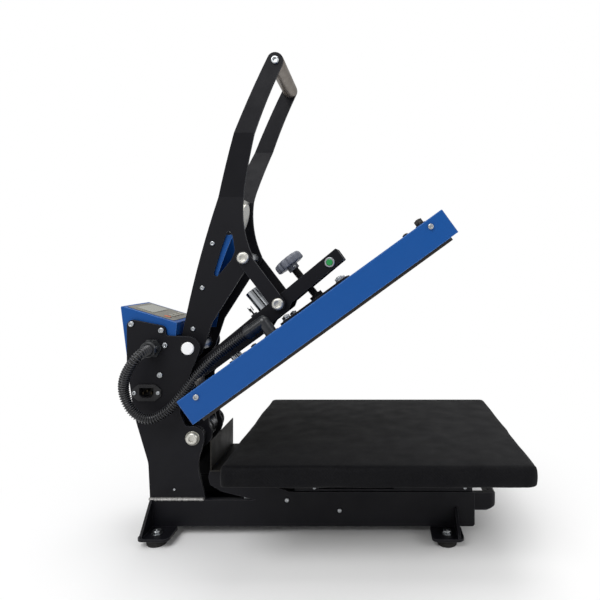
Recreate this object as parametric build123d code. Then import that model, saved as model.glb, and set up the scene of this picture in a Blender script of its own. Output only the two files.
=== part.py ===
from build123d import *
import math
import os

# Slide-out clamshell heat press, standing open, in millimetres.
# +X points to the operator, -Y is the operator's left, +Z is up.
# The origin lies on the table under the middle of the lower platen.

# Platens
PLATEN_LENGTH = 450.0
PLATEN_WIDTH = 380.0
HEATER_THICKNESS = 14.0
HEATER_CORNER = 5.0
HEATER_REST_GAP = 13.0
LOWER_GROW_X = 8.0
LOWER_GROW_Y = 18.0
LOWER_SHIFT = 3.0
LOWER_PLATE_THICKNESS = 10.0
PAD_THICKNESS = 17.0
PLATEN_TOP = 166.5
FABRIC = 1.6
FABRIC_CROWN = 2.6
FABRIC_HEM = 14.0
FABRIC_CLEARANCE = 0.3

# Heater housing
COVER_MARGIN_X = 11.0
COVER_MARGIN_Y = 10.0
COVER_HEIGHT = 40.5
COVER_SHEET = 1.5
COVER_RIM_UP = 5.0
INSULATION_THICKNESS = 18.0
COVER_SCREW_INSET = 28.0
COVER_SCREW_DROP = 11.0

# Pivots, in the plane of the side plates: (x, z)
MAIN_PIVOT = (-312.0, 164.0)
LEVER_PIVOT = (-320.0, 316.0)
LINK_TOP = (-229.7, 469.6)
LINK_FOOT = (-169.7, 390.4)
OPEN_ANGLE = 36.0
BEAM_TILT = 3.5

# Side plates, from the middle outwards
ARM_HALF_WIDTH = 34.5
PLATE = 5.0
PLATE_GAP = 1.0
TOWER_INNER = 54.0
TOWER_PLATE = 6.0
RAIL_OUTER = 63.0
RAIL_PLATE = 5.0
LEVER_TOP_HALF_WIDTH = 80.0

# Base
RAIL_REAR = -383.0
RAIL_FRONT = 166.0
RAIL_BOTTOM = 16.0
RAIL_REAR_TOP = 60.5
RAIL_FRONT_TOP = 74.0
RAIL_STEP = -146.0
TONGUE_REAR = -281.0
TONGUE_TOP = 111.0
FLANGE = 15.0
FLANGE_SHEET = 4.0
FOOT_REAR = -361.0
FOOT_FRONT = 116.0
FOOT_HALF_SPREAD = 87.0
FOOT_TAB_REACH = 108.0
FOOT_TAB_LENGTH = 52.0
FOOT_TAB_SHEET = 4.0
FOOT_RADIUS = 18.0
FOOT_BOLT_RADIUS = 4.0
GUSSET_SHEET = 4.0

# Shafts and bolts
SHAFT_RADIUS = 10.0
SLEEVE_WALL = 3.5
M12_RADIUS = 6.0
M12_HEAD_RADIUS = 10.5
M12_HEAD_HEIGHT = 5.5
M6_HEAD_RADIUS = 5.0
M6_HEAD_HEIGHT = 3.0
M5_HEAD_RADIUS = 3.6
M5_HEAD_HEIGHT = 2.4
FIT = 0.05
CLEAR = 0.3

# Slide of the lower platen
SLIDE_TRAVEL = 300.0
SLIDE_REAR = -225.0
SLIDE_DEPTH = 12.0
SLIDE_HEIGHT = 42.0
SLIDE_BOTTOM = 26.0
SLIDE_SHEET = 2.0
DRAWER_SHEET = 3.0
DRAWER_TOP = 86.0
BEARER_SPACING = 220.0
BEARER_WIDTH = 40.0
BEARER_SPAN = 118.0
WING_REAR = -138.0
HANDLE_REACH = 204.0
HANDLE_HALF_WIDTH = 57.0
HANDLE_BAR = 10.0
HANDLE_BOTTOM = 41.0
HANDLE_TOP = 70.0

# Pressure screw and controls
STUD_X = -10.0
STUD_RADIUS = 7.0
STUD_TRAVEL = 8.0
KNOB_RADIUS = 27.5
KNOB_HEIGHT = 17.0
KNOB_STANDOFF = 28.5
KNOB_LOBES = 12
BUTTON_X = 49.5
BUTTON_BODY_RADIUS = 8.0
BUTTON_BEZEL_RADIUS = 9.0
BUTTON_CAP_RADIUS = 5.6
BUTTON_TRAVEL = 1.5
MAGNET_X = -95.0
MAGNET_RADIUS = 12.5
MAGNET_HEIGHT = 40.0
ARMATURE_RADIUS = 25.0
GRIP_RADIUS = 14.0

# Hose between the tower and the heater housing
HOSE_RADIUS = 8.6
HOSE_ROOT_RADIUS = 7.3
HOSE_RIB_PITCH = 10.0
GLAND_AT = (-379.0, 317.0)
GLAND_LENGTH = 22.0
ELBOW_X = -99.0
ELBOW_Y = -60.0
ELBOW_RISE = 25.5
ELBOW_REACH = 36.0
ELBOW_RADIUS = 10.5

# Worked out from the sizes above
ARM_INNER = ARM_HALF_WIDTH - PLATE
LEVER_INNER = ARM_HALF_WIDTH + PLATE_GAP
LEVER_OUTER = LEVER_INNER + PLATE
LINK_INNER = LEVER_OUTER + PLATE_GAP
LINK_OUTER = LINK_INNER + PLATE
TOWER_OUTER = TOWER_INNER + TOWER_PLATE
RAIL_INNER = RAIL_OUTER - RAIL_PLATE
PAD_TOP = PLATEN_TOP - FABRIC
PAD_BOTTOM = PAD_TOP - PAD_THICKNESS
LOWER_PLATE_BOTTOM = PAD_BOTTOM - LOWER_PLATE_THICKNESS
PAD_LENGTH = PLATEN_LENGTH + LOWER_GROW_X - 8
PAD_WIDTH = PLATEN_WIDTH + LOWER_GROW_Y - 8
HEATER_BOTTOM = PLATEN_TOP + FABRIC_CROWN + HEATER_REST_GAP
HEATER_TOP = HEATER_BOTTOM + HEATER_THICKNESS
COVER_BOTTOM = HEATER_BOTTOM + COVER_RIM_UP
COVER_TOP = COVER_BOTTOM + COVER_HEIGHT
COVER_LENGTH = PLATEN_LENGTH + 2 * COVER_MARGIN_X
COVER_WIDTH = PLATEN_WIDTH + 2 * COVER_MARGIN_Y
BEAM_FRONT = 73.0
BEAM_HEIGHT = 24.0
BEAM_TOP_FRONT = COVER_TOP + 56.2
BEAM_REAR = -262.0
WEB_SHEET = 4.0
BRIDGE_SHEET = 6.0
SLIDE_OUTER = RAIL_INNER
SLIDE_INNER = RAIL_INNER - SLIDE_DEPTH


def outline(points, radii=0.0):
    """Closed face through (x, y) points, with one radius or one for each corner."""
    return make_face(FilletPolyline(*points, radius=radii, close=True))


def panel(profile, y_low, y_high):
    """Solid from an XZ profile between two Y planes."""
    return extrude(Plane.XZ.offset(-y_high) * profile, amount=y_high - y_low, dir=(0, -1, 0))


def slab(profile, z_low, z_high):
    """Solid from an XY profile between two Z planes."""
    return extrude(Pos(0, 0, z_low) * profile, amount=z_high - z_low, dir=(0, 0, 1))


def cross(profile, x_low, x_high):
    """Solid from a YZ profile between two X planes."""
    return extrude(Plane.YZ.offset(x_low) * profile, amount=x_high - x_low, dir=(1, 0, 0))


def block(x_low, x_high, y_low, y_high, z_low, z_high):
    """Box between its limits."""
    corner = Align.MIN
    return Pos(x_low, y_low, z_low) * Box(
        x_high - x_low, y_high - y_low, z_high - z_low, align=(corner, corner, corner)
    )


def rod_y(at, radius, y_low, y_high):
    """Cylinder along Y through the (x, z) point."""
    return Pos(at[0], y_high, at[1]) * Rot(90, 0, 0) * Cylinder(
        radius, y_high - y_low, align=(Align.CENTER, Align.CENTER, Align.MIN)
    )


def rod_z(x, y, radius, z_low, z_high):
    """Cylinder along Z."""
    return Pos(x, y, z_low) * Cylinder(
        radius, z_high - z_low, align=(Align.CENTER, Align.CENTER, Align.MIN)
    )


def on_circle(centre, radius, degrees):
    """Point on a circle round an (x, z) centre."""
    turn = math.radians(degrees)
    return (centre[0] + radius * math.cos(turn), centre[1] + radius * math.sin(turn))


def bar(start, end, radius):
    """Face of a bar with round ends between two points."""
    length = math.dist(start, end)
    turn = math.degrees(math.atan2(end[1] - start[1], end[0] - start[0]))
    middle = ((start[0] + end[0]) / 2, (start[1] + end[1]) / 2)
    return Pos(middle[0], middle[1]) * Rot(0, 0, turn) * SlotCenterToCenter(length, 2 * radius)


def disc(at, radius):
    """Round face at a point of a profile."""
    return Pos(at[0], at[1]) * Circle(radius)


def right_of(part):
    """The same piece on the other side of the middle plane."""
    return mirror(part, about=Plane.XZ)


def pair(part):
    """A piece and its mirror image as separate solids."""
    return Compound(children=[*part.solids(), *right_of(part).solids()])


def group(*parts):
    """Several separate solids in one node."""
    return Compound(children=[solid for part in parts for solid in part.solids()])


def opened(part):
    """Swing a piece built with the press shut to the open position."""
    pivot = Pos(MAIN_PIVOT[0], 0, MAIN_PIVOT[1])
    return pivot * Rot(0, -OPEN_ANGLE, 0) * pivot.inverse() * part


def opened_point(x, y, z):
    """A point given with the press shut, at the open position."""
    turn = math.radians(OPEN_ANGLE)
    dx = x - MAIN_PIVOT[0]
    dz = z - MAIN_PIVOT[1]
    return (
        MAIN_PIVOT[0] + dx * math.cos(turn) - dz * math.sin(turn),
        y,
        MAIN_PIVOT[1] + dx * math.sin(turn) + dz * math.cos(turn),
    )


def beam_top(x):
    """Height of the beam's top edge with the press shut."""
    return BEAM_TOP_FRONT - (BEAM_FRONT - x) * math.tan(math.radians(BEAM_TILT))


def on_beam(x, part):
    """Stand a piece, built upwards from the origin, on the beam's top edge."""
    return Pos(x, 0, beam_top(x)) * Rot(0, -BEAM_TILT, 0) * part


def cap_screw(at, face, head_radius, head_height, shank_radius, shank):
    """Socket screw whose head lies outside the plane Y = -face."""
    head = screw_head(at, face, head_radius, head_height)
    socket = Pos(at[0], at[1]) * RegularPolygon(head_radius * 0.42, 6)
    head -= panel(socket, -face - head_height, -face - head_height * 0.45)
    return head + rod_y(at, shank_radius, -face, -face + shank)


def screw_head(at, face, radius, height):
    """Chamfered screw head seated on the plane Y = -face."""
    head = rod_y(at, radius, -face - height, -face)
    return chamfer(head.edges().group_by(Axis.Y)[0], height * 0.45)


# Base

def base_rail():
    """Left side plate of the base, with its rear tongue and turned-in flanges."""
    profile = outline(
        [
            (RAIL_REAR, RAIL_BOTTOM),
            (RAIL_FRONT, RAIL_BOTTOM),
            (RAIL_FRONT, RAIL_FRONT_TOP),
            (RAIL_STEP, RAIL_FRONT_TOP),
            (TONGUE_REAR + 20.0, TONGUE_TOP),
            (TONGUE_REAR, TONGUE_TOP),
            (TONGUE_REAR - 3.0, TONGUE_TOP - 12.0),
            (TONGUE_REAR, TONGUE_TOP - 25.0),
            (TONGUE_REAR + 19.0, RAIL_FRONT_TOP + 1.0),
            (TONGUE_REAR + 77.0, RAIL_REAR_TOP),
            (RAIL_REAR, RAIL_REAR_TOP),
        ],
        [0, 5, 3, 25, 20, 3, 8, 8, 20, 0, 0],
    )
    web = panel(profile, -RAIL_OUTER, -RAIL_INNER)
    foot = block(
        RAIL_REAR, RAIL_FRONT - 6, -RAIL_OUTER + 1, -RAIL_OUTER + 1 + FLANGE,
        RAIL_BOTTOM, RAIL_BOTTOM + FLANGE_SHEET,
    )
    shelf = block(
        RAIL_REAR, SLIDE_REAR - 4, -RAIL_OUTER + 1, -TOWER_INNER,
        RAIL_REAR_TOP - FLANGE_SHEET, RAIL_REAR_TOP,
    )
    return web + foot + shelf


def base_pan():
    """Floor sheet between the rails, with its slots."""
    sheet = block(
        RAIL_REAR + 2, RAIL_FRONT - 8, -RAIL_INNER + CLEAR, RAIL_INNER - CLEAR,
        RAIL_BOTTOM + FLANGE_SHEET, RAIL_BOTTOM + FLANGE_SHEET + DRAWER_SHEET,
    )
    slot = slab(Rectangle(80, 30), 0, 4 * RAIL_BOTTOM)
    span = RAIL_FRONT - RAIL_REAR
    for share in (0.2, 0.4, 0.6, 0.8):
        sheet -= Pos(RAIL_REAR + share * span, 0, 0) * slot
    return sheet


def foot_bracket(x_foot, gusset_at, gusset_top):
    """Tab welded under the rail, with its upright gusset."""
    tab = slab(
        Pos(x_foot, -(FOOT_TAB_REACH + RAIL_INNER) / 2)
        * RectangleRounded(FOOT_TAB_LENGTH, FOOT_TAB_REACH - RAIL_INNER, 10),
        RAIL_BOTTOM - FOOT_TAB_SHEET, RAIL_BOTTOM,
    )
    tab -= rod_z(x_foot, -FOOT_HALF_SPREAD, FOOT_BOLT_RADIUS + CLEAR, 0, RAIL_BOTTOM)
    web = outline(
        [
            (-RAIL_OUTER, RAIL_BOTTOM),
            (-RAIL_OUTER, gusset_top),
            (-RAIL_OUTER - 5, gusset_top),
            (-FOOT_TAB_REACH + 2, RAIL_BOTTOM + 5),
            (-FOOT_TAB_REACH + 2, RAIL_BOTTOM),
        ]
    )
    gusset = cross(web, gusset_at, gusset_at + GUSSET_SHEET)
    return tab + gusset


def foot_brackets():
    """The four welded foot brackets."""
    rear = foot_bracket(FOOT_REAR, RAIL_REAR + 1, RAIL_REAR_TOP)
    front = foot_bracket(FOOT_FRONT, FOOT_FRONT + 16, RAIL_REAR_TOP - 12)
    return group(pair(rear), pair(front))


def at_feet(part):
    """Copies of a piece, made at the origin, at the four feet."""
    places = [(x, side * FOOT_HALF_SPREAD) for x in (FOOT_REAR, FOOT_FRONT) for side in (-1, 1)]
    return group(*[Pos(x, y, 0) * part for x, y in places])


def rubber_feet():
    """Tapered rubber feet under the tabs."""
    height = RAIL_BOTTOM - FOOT_TAB_SHEET
    foot = Cone(FOOT_RADIUS - 2, FOOT_RADIUS, height, align=(Align.CENTER, Align.CENTER, Align.MIN))
    return at_feet(foot)


def foot_bolts():
    """Hexagon bolts that hold the rubber feet."""
    head = Pos(0, 0, RAIL_BOTTOM) * extrude(RegularPolygon(7.5, 6), amount=5.3)
    return at_feet(head + rod_z(0, 0, FOOT_BOLT_RADIUS, RAIL_BOTTOM - FOOT_TAB_SHEET, RAIL_BOTTOM))


# Tower

def tower_profile():
    """Outline of a tower plate, with an eye at each pivot."""
    eye = 20.0
    tangent = on_circle(LEVER_PIVOT, eye, -21.7)
    body = outline(
        [
            (-384.0, RAIL_REAR_TOP),
            (-387.0, 122.0),
            (-411.0, 203.0),
            (-423.5, 290.0),
            (-423.5, 366.5),
            (-359.0, 353.5),
            (-357.0, 337.5),
            (LEVER_PIVOT[0], LEVER_PIVOT[1] + eye),
            tangent,
            (-331.0, 235.0),
            (-333.5, 206.0),
            (-324.0, 183.0),
            (MAIN_PIVOT[0], MAIN_PIVOT[1] + eye),
            (MAIN_PIVOT[0] + eye, MAIN_PIVOT[1]),
            (-304.5, 116.0),
            (-290.0, RAIL_REAR_TOP),
        ],
        [0, 50, 150, 100, 10, 9, 5, 0, 0, 50, 10, 8, 0, 0, 60, 0],
    )
    return body + disc(LEVER_PIVOT, eye) + disc(MAIN_PIVOT, eye)


def tower_plate():
    """Tower plate as cut for the right side, drawn on the left."""
    profile = tower_profile()
    profile -= disc(LEVER_PIVOT, SHAFT_RADIUS + FIT)
    profile -= disc(MAIN_PIVOT, SHAFT_RADIUS + FIT)
    return panel(profile, -TOWER_OUTER, -TOWER_INNER)


def tower_plate_left():
    """Left tower plate, also cut for the mains inlet and the hose gland."""
    plate = tower_plate()
    plate -= panel(Pos(*INLET_AT) * Rectangle(28.2, 20.7), -TOWER_OUTER, -TOWER_INNER)
    return plate - rod_y(GLAND_AT, HOSE_RADIUS + 1.4 + FIT, -TOWER_OUTER, -TOWER_INNER)


TOWER_SCREWS = [(-415.5, 357.5), (-365.0, 346.5), (-358.5, 321.5), (-367.0, 271.0)]
RAIL_SCREWS = [(-151.3, 60.5), (-62.4, 43.0)]
WING_SCREWS = [(-105.0, 81.0), (149.5, 81.0)]
INLET_AT = (-389.2, 241.3)


def tower_back():
    """Folded sheet that closes the lower rear between the tower plates."""
    profile = outline(
        [
            (-381.0, RAIL_REAR_TOP),
            (-384.0, 122.0),
            (-406.0, 200.0),
            (-402.8, 201.0),
            (-380.9, 122.0),
            (-378.0, RAIL_REAR_TOP),
        ]
    )
    return panel(profile, -TOWER_INNER, TOWER_INNER)


def tower_bar():
    """Square bar between the tower plates, the lower stop of the return spring."""
    front = MAIN_PIVOT[0] - SPRING_RADIUS - SPRING_WIRE
    return block(front - 20, front, -TOWER_INNER, TOWER_INNER, RAIL_REAR_TOP + 30, RAIL_REAR_TOP + 42)


def shaft(at):
    """Shaft through both tower plates."""
    return rod_y(at, SHAFT_RADIUS, -TOWER_OUTER, TOWER_OUTER)


def shaft_caps():
    """Domed plastic caps over the ends of the lever shaft."""
    cap = rod_y(LEVER_PIVOT, SHAFT_RADIUS + 0.8, -TOWER_OUTER - 2.5, -TOWER_OUTER)
    cap = chamfer(cap.edges().group_by(Axis.Y)[0], 1.2)
    return pair(cap)


def pivot_bolts():
    """Button-head bolts and washers on the ends of the main pivot shaft."""
    washer = rod_y(MAIN_PIVOT, M12_HEAD_RADIUS + 1.5, -TOWER_OUTER - 1.5, -TOWER_OUTER)
    bolt = cap_screw(MAIN_PIVOT, TOWER_OUTER + 1.5, M12_HEAD_RADIUS, M12_HEAD_HEIGHT, 4, 1.5)
    return pair(washer + bolt)


def box_profile():
    """Side view of the control box."""
    return outline(
        [
            (-437.0, 388.0),
            (-341.0, 359.0),
            (-343.0, 336.5),
            (-358.5, 333.0),
            (-373.0, 262.0),
            (-373.0, 222.0),
            (-416.5, 222.0),
        ],
        [2, 2, 2, 0, 4, 3, 3],
    )


def control_box():
    """Folded sheet box between the tower plates, hollow inside."""
    half = TOWER_INNER - CLEAR
    shell = panel(box_profile(), -half, half)
    room = panel(offset(box_profile(), -COVER_SHEET), -half + COVER_SHEET, half - COVER_SHEET)
    shell -= room
    shell -= block(-404, -374, -half - 1, 0, 230, 252.5)
    shell -= rod_y(GLAND_AT, HOSE_RADIUS + 1.4 + CLEAR, -half - 1, 0)
    return shell


def on_box(part):
    """Lay a piece, made flat at the origin, on the sloping top of the control box."""
    slope = math.degrees(math.atan2(388.0 - 359.0, 437.0 - 341.0))
    return Pos(-389.0, 0, 373.5) * Rot(0, slope, 0) * part


def control_panel():
    """Membrane overlay with its raised keys."""
    sheet = slab(RectangleRounded(84, 92, 4), 0, 0.8)
    for row in range(4):
        sheet += Pos(24, -30 + row * 20, 0.8) * slab(RectangleRounded(13, 13, 3), -0.2, 0.6)
    return on_box(sheet)


def display_window():
    """Clear window over the display."""
    return on_box(slab(Pos(-16, 0) * RectangleRounded(32, 66, 2), 0.8, 1.6))


def body_screws():
    """Socket screws through the tower plates and rails, and the two that hold the inlet."""
    screws = [screw_head(at, TOWER_OUTER, M6_HEAD_RADIUS, M6_HEAD_HEIGHT) for at in TOWER_SCREWS]
    screws += [screw_head(at, RAIL_OUTER, M5_HEAD_RADIUS, M5_HEAD_HEIGHT) for at in RAIL_SCREWS]
    sides = [pair(screw) for screw in screws]
    inlet = []
    for side in (-1, 1):
        at = (INLET_AT[0] + side * 20, INLET_AT[1])
        inlet.append(screw_head(at, TOWER_OUTER + 2.5, M5_HEAD_RADIUS, M5_HEAD_HEIGHT))
    return group(*sides, *inlet)


def power_inlet():
    """Appliance inlet with its flange, and the hollow that takes the plug."""
    x, z = INLET_AT
    flange = panel(
        Pos(x, z) * outline(
            [(-25, -5), (-14, -14), (14, -14), (25, -5), (25, 5), (14, 14), (-14, 14), (-25, 5)]
        ),
        -TOWER_OUTER - 2.5, -TOWER_OUTER,
    )
    body = panel(Pos(x, z) * Rectangle(28, 20.5), -TOWER_OUTER, -TOWER_INNER + 14)
    hollow = outline(
        [(-12.2, 8.4), (12.2, 8.4), (12.2, -3.4), (7.2, -8.4), (-7.2, -8.4), (-12.2, -3.4)]
    )
    inlet = flange + body - panel(Pos(x, z) * hollow, -TOWER_OUTER - 2.5, -TOWER_OUTER + 13)
    return inlet


def inlet_pins():
    """The three blades of the inlet."""
    x, z = INLET_AT
    blades = []
    for dx, dz in ((-7, -1.5), (7, -1.5), (0, 2.5)):
        face = Pos(x + dx, z + dz) * Rectangle(2, 4)
        blades.append(panel(face, -TOWER_OUTER + 1, -TOWER_OUTER + 13))
    return group(*blades)


def hose_gland():
    """Screwed gland on the left tower plate that the hose comes out of."""
    face = TOWER_OUTER
    nut = panel(Pos(*GLAND_AT) * RegularPolygon(16.5, 6), -face - 7, -face)
    neck = rod_y(GLAND_AT, HOSE_RADIUS + 3.4, -face - 12, -face - 7)
    collar = rod_y(GLAND_AT, HOSE_RADIUS + 4.6, -face - GLAND_LENGTH, -face - 12)
    collar = chamfer(collar.edges().group_by(Axis.Y)[0], 1.5)
    thread = rod_y(GLAND_AT, HOSE_RADIUS + 1.4, -face, -face + 16)
    socket = rod_y(GLAND_AT, HOSE_RADIUS + CLEAR, -face - 60, -face - 13)
    return nut + neck + collar + thread - socket


def rear_guard():
    """Angle sheet on the rail tongues, behind the lower platen."""
    x = TONGUE_REAR + 2
    base = TONGUE_TOP
    upright = block(x, x + 1.5, -69, 69, base, base + 51)
    ledge = block(x, x + 20, -69, 69, base, base + 1.5)
    return upright + ledge


# Slide and lower platen

def slide_rail():
    """Channel screwed inside the left base rail."""
    outer = block(
        SLIDE_REAR, RAIL_FRONT - 8, -SLIDE_OUTER, -SLIDE_INNER,
        SLIDE_BOTTOM, SLIDE_BOTTOM + SLIDE_HEIGHT,
    )
    hollow = block(
        SLIDE_REAR + SLIDE_SHEET, RAIL_FRONT, -SLIDE_OUTER + SLIDE_SHEET, -SLIDE_INNER + 1,
        SLIDE_BOTTOM + SLIDE_SHEET, SLIDE_BOTTOM + SLIDE_HEIGHT - SLIDE_SHEET,
    )
    return outer - hollow


def slide_runner():
    """Inner runner that carries the left side of the drawer."""
    low = SLIDE_BOTTOM + SLIDE_SHEET + CLEAR
    high = SLIDE_BOTTOM + SLIDE_HEIGHT - SLIDE_SHEET - CLEAR
    outer = -SLIDE_OUTER + SLIDE_SHEET + CLEAR
    rear = SLIDE_REAR + SLIDE_SHEET + CLEAR
    body = block(rear, RAIL_FRONT - 8, outer, -SLIDE_INNER + 2, low, high)
    groove = block(rear - 1, RAIL_FRONT, outer - 1, outer + 6, low + 8, high - 8)
    return body - groove


def drawer_frame():
    """Folded carriage between the runners, with the front plate."""
    inner = SLIDE_INNER - 2
    top = block(
        SLIDE_REAR, RAIL_FRONT - 6, -inner, inner, DRAWER_TOP - DRAWER_SHEET, DRAWER_TOP
    )
    wing = RAIL_OUTER - 1
    wings = block(WING_REAR, RAIL_FRONT - 6, -wing, wing, RAIL_FRONT_TOP + 2, DRAWER_TOP)
    wings -= block(
        WING_REAR + DRAWER_SHEET, RAIL_FRONT - 6 - DRAWER_SHEET, -wing + DRAWER_SHEET, wing - DRAWER_SHEET,
        RAIL_FRONT_TOP, DRAWER_TOP - DRAWER_SHEET,
    )
    wings -= block(WING_REAR + 40, WING_REAR + 168, -90, 90, RAIL_FRONT_TOP + 4.5, DRAWER_TOP - 4)
    cheek = block(
        SLIDE_REAR, RAIL_FRONT - 6, -inner, -inner + DRAWER_SHEET,
        SLIDE_BOTTOM + 6, DRAWER_TOP,
    )
    front = block(
        RAIL_FRONT - 6 - DRAWER_SHEET, RAIL_FRONT - 6, -inner, inner, HANDLE_BOTTOM - 4, DRAWER_TOP
    )
    front += block(
        RAIL_FRONT - 6, RAIL_FRONT - 3, -HANDLE_HALF_WIDTH, HANDLE_HALF_WIDTH, HANDLE_BOTTOM - 4, DRAWER_TOP
    )
    frame = top + wings + cheek + right_of(cheek) + front
    hole = slab(RectangleRounded(90, 56, 8), 0, 2 * DRAWER_TOP)
    for x in (-BEARER_SPACING / 2 + 50, BEARER_SPACING / 2 - 40):
        frame -= Pos(x, 0, 0) * hole
    return frame


def drawer_screws():
    """Small screws in the sides of the drawer."""
    return group(*[pair(screw_head(at, RAIL_OUTER - 1, 2.8, 1.8)) for at in WING_SCREWS])


def drawer_handle():
    """Bowed pull handle on the front plate."""
    rear = RAIL_FRONT - 3
    bow = outline(
        [
            (rear, -HANDLE_HALF_WIDTH),
            (HANDLE_REACH, -HANDLE_HALF_WIDTH),
            (HANDLE_REACH, HANDLE_HALF_WIDTH),
            (rear, HANDLE_HALF_WIDTH),
        ],
        [0, 12, 12, 0],
    )
    gap = outline(
        [
            (rear - 1, -HANDLE_HALF_WIDTH + HANDLE_BAR),
            (HANDLE_REACH - HANDLE_BAR, -HANDLE_HALF_WIDTH + HANDLE_BAR),
            (HANDLE_REACH - HANDLE_BAR, HANDLE_HALF_WIDTH - HANDLE_BAR),
            (rear - 1, HANDLE_HALF_WIDTH - HANDLE_BAR),
        ],
        [0, 5, 5, 0],
    )
    handle = slab(bow - gap, HANDLE_BOTTOM, HANDLE_TOP)
    side = outline(
        [
            (rear, HANDLE_BOTTOM),
            (HANDLE_REACH - 17, HANDLE_BOTTOM),
            (HANDLE_REACH, HANDLE_BOTTOM + 7),
            (HANDLE_REACH, HANDLE_TOP - 3),
            (HANDLE_REACH - 4, HANDLE_TOP),
            (rear, HANDLE_TOP),
        ],
        [0, 8, 6, 3, 2, 0],
    )
    return handle & panel(side, -HANDLE_HALF_WIDTH, HANDLE_HALF_WIDTH)


def platen_bearers():
    """Two channels across the drawer that carry the lower platen."""
    height = LOWER_PLATE_BOTTOM - DRAWER_TOP
    half = BEARER_WIDTH / 2
    profile = Pos(0, DRAWER_TOP + height / 2) * Rectangle(BEARER_WIDTH, height)
    profile -= Pos(0, DRAWER_TOP + height / 2 - DRAWER_SHEET) * Rectangle(
        BEARER_WIDTH - 2 * DRAWER_SHEET, height
    )
    channel = panel(profile, -BEARER_SPAN / 2, BEARER_SPAN / 2)
    lip = block(
        -half + DRAWER_SHEET, half - DRAWER_SHEET, -SLIDE_INNER, SLIDE_INNER,
        DRAWER_TOP, DRAWER_TOP + DRAWER_SHEET,
    )
    bearer = channel + lip
    return group(Pos(-BEARER_SPACING / 2, 0, 0) * bearer, Pos(BEARER_SPACING / 2, 0, 0) * bearer)


def lower_platen():
    """Aluminium plate under the pad."""
    face = Pos(LOWER_SHIFT, 0) * RectangleRounded(PAD_LENGTH, PAD_WIDTH, 12)
    plate = slab(face, LOWER_PLATE_BOTTOM, PAD_BOTTOM)
    return chamfer(plate.edges().group_by(Axis.Z)[0], 2)


def platen_pad():
    """Silicone foam pad on the lower platen."""
    face = Pos(LOWER_SHIFT, 0) * RectangleRounded(PAD_LENGTH, PAD_WIDTH, 12)
    return slab(face, PAD_BOTTOM, PAD_TOP)


def cover_section(inset, corner):
    """Rounded plan of the fabric cover, drawn in from its widest line."""
    half_x = PAD_LENGTH / 2 + 5 - inset
    half_y = PAD_WIDTH / 2 + 5 - inset
    return Pos(LOWER_SHIFT, 0) * RectangleRounded(2 * half_x, 2 * half_y, corner)


def pad_cover():
    """Fitted fabric cover, crowned on top and drawn in under the platen."""
    bottom = LOWER_PLATE_BOTTOM - FABRIC
    middle = (bottom + PLATEN_TOP) / 2
    sides = loft(
        [
            Pos(0, 0, bottom) * cover_section(3.2, 13),
            Pos(0, 0, middle) * cover_section(0, 16),
            Pos(0, 0, PLATEN_TOP - 4) * cover_section(0.6, 15),
            Pos(0, 0, PLATEN_TOP) * cover_section(2.4, 14),
        ],
        ruled=True,
    )
    crown = loft(
        [
            Pos(0, 0, PLATEN_TOP) * cover_section(2.4, 14),
            Pos(0, 0, PLATEN_TOP + 0.6 * FABRIC_CROWN) * cover_section(14, 12),
            Pos(0, 0, PLATEN_TOP + FABRIC_CROWN) * cover_section(90, 12),
        ],
        ruled=True,
    )
    grow = 2 * FABRIC_CLEARANCE
    room = Pos(LOWER_SHIFT, 0) * RectangleRounded(PAD_LENGTH + grow, PAD_WIDTH + grow, 12)
    mouth = Pos(LOWER_SHIFT, 0) * RectangleRounded(
        PAD_LENGTH - 2 * FABRIC_HEM, PAD_WIDTH - 2 * FABRIC_HEM, 8
    )
    cover = sides + crown - slab(room, LOWER_PLATE_BOTTOM, PAD_TOP)
    return cover - slab(mouth, bottom - 1, LOWER_PLATE_BOTTOM + 1)


# Press arm, drawn shut and swung open

def arm_plate():
    """Left side plate of the arm: an eye, a bend round the housing and the beam."""
    eye = 25.0
    low_front = beam_top(BEAM_FRONT) - BEAM_HEIGHT
    low_rear = COVER_TOP + 10.0
    body = outline(
        [
            (BEAM_FRONT, low_front),
            (BEAM_FRONT, beam_top(BEAM_FRONT)),
            (BEAM_REAR, beam_top(BEAM_REAR)),
            (-300.0, 222.0),
            on_circle(MAIN_PIVOT, eye, 165),
            on_circle(MAIN_PIVOT, eye, 0),
            (-262.0, 203.0),
            (-249.0, low_rear),
            (-112.0, low_rear),
            (-97.0, COVER_TOP + 16.5),
            (-55.0, COVER_TOP + 18.0),
            (-46.0, low_front - 8.0),
        ],
        [2, 2, 40, 60, 0, 0, 30, 10, 12, 8, 3, 3],
    )
    profile = body + disc(MAIN_PIVOT, eye) - disc(MAIN_PIVOT, SHAFT_RADIUS + SLEEVE_WALL + FIT)
    return panel(profile, -ARM_HALF_WIDTH, -ARM_INNER)


def arm_plate_left():
    """Left arm plate with the hole for the push button."""
    return opened(arm_plate() - rod_y(BUTTON_AT, BUTTON_BODY_RADIUS + FIT, -90, 0))


BUTTON_AT = (BUTTON_X, beam_top(BUTTON_X) - BEAM_HEIGHT / 2 - 0.5)


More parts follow.
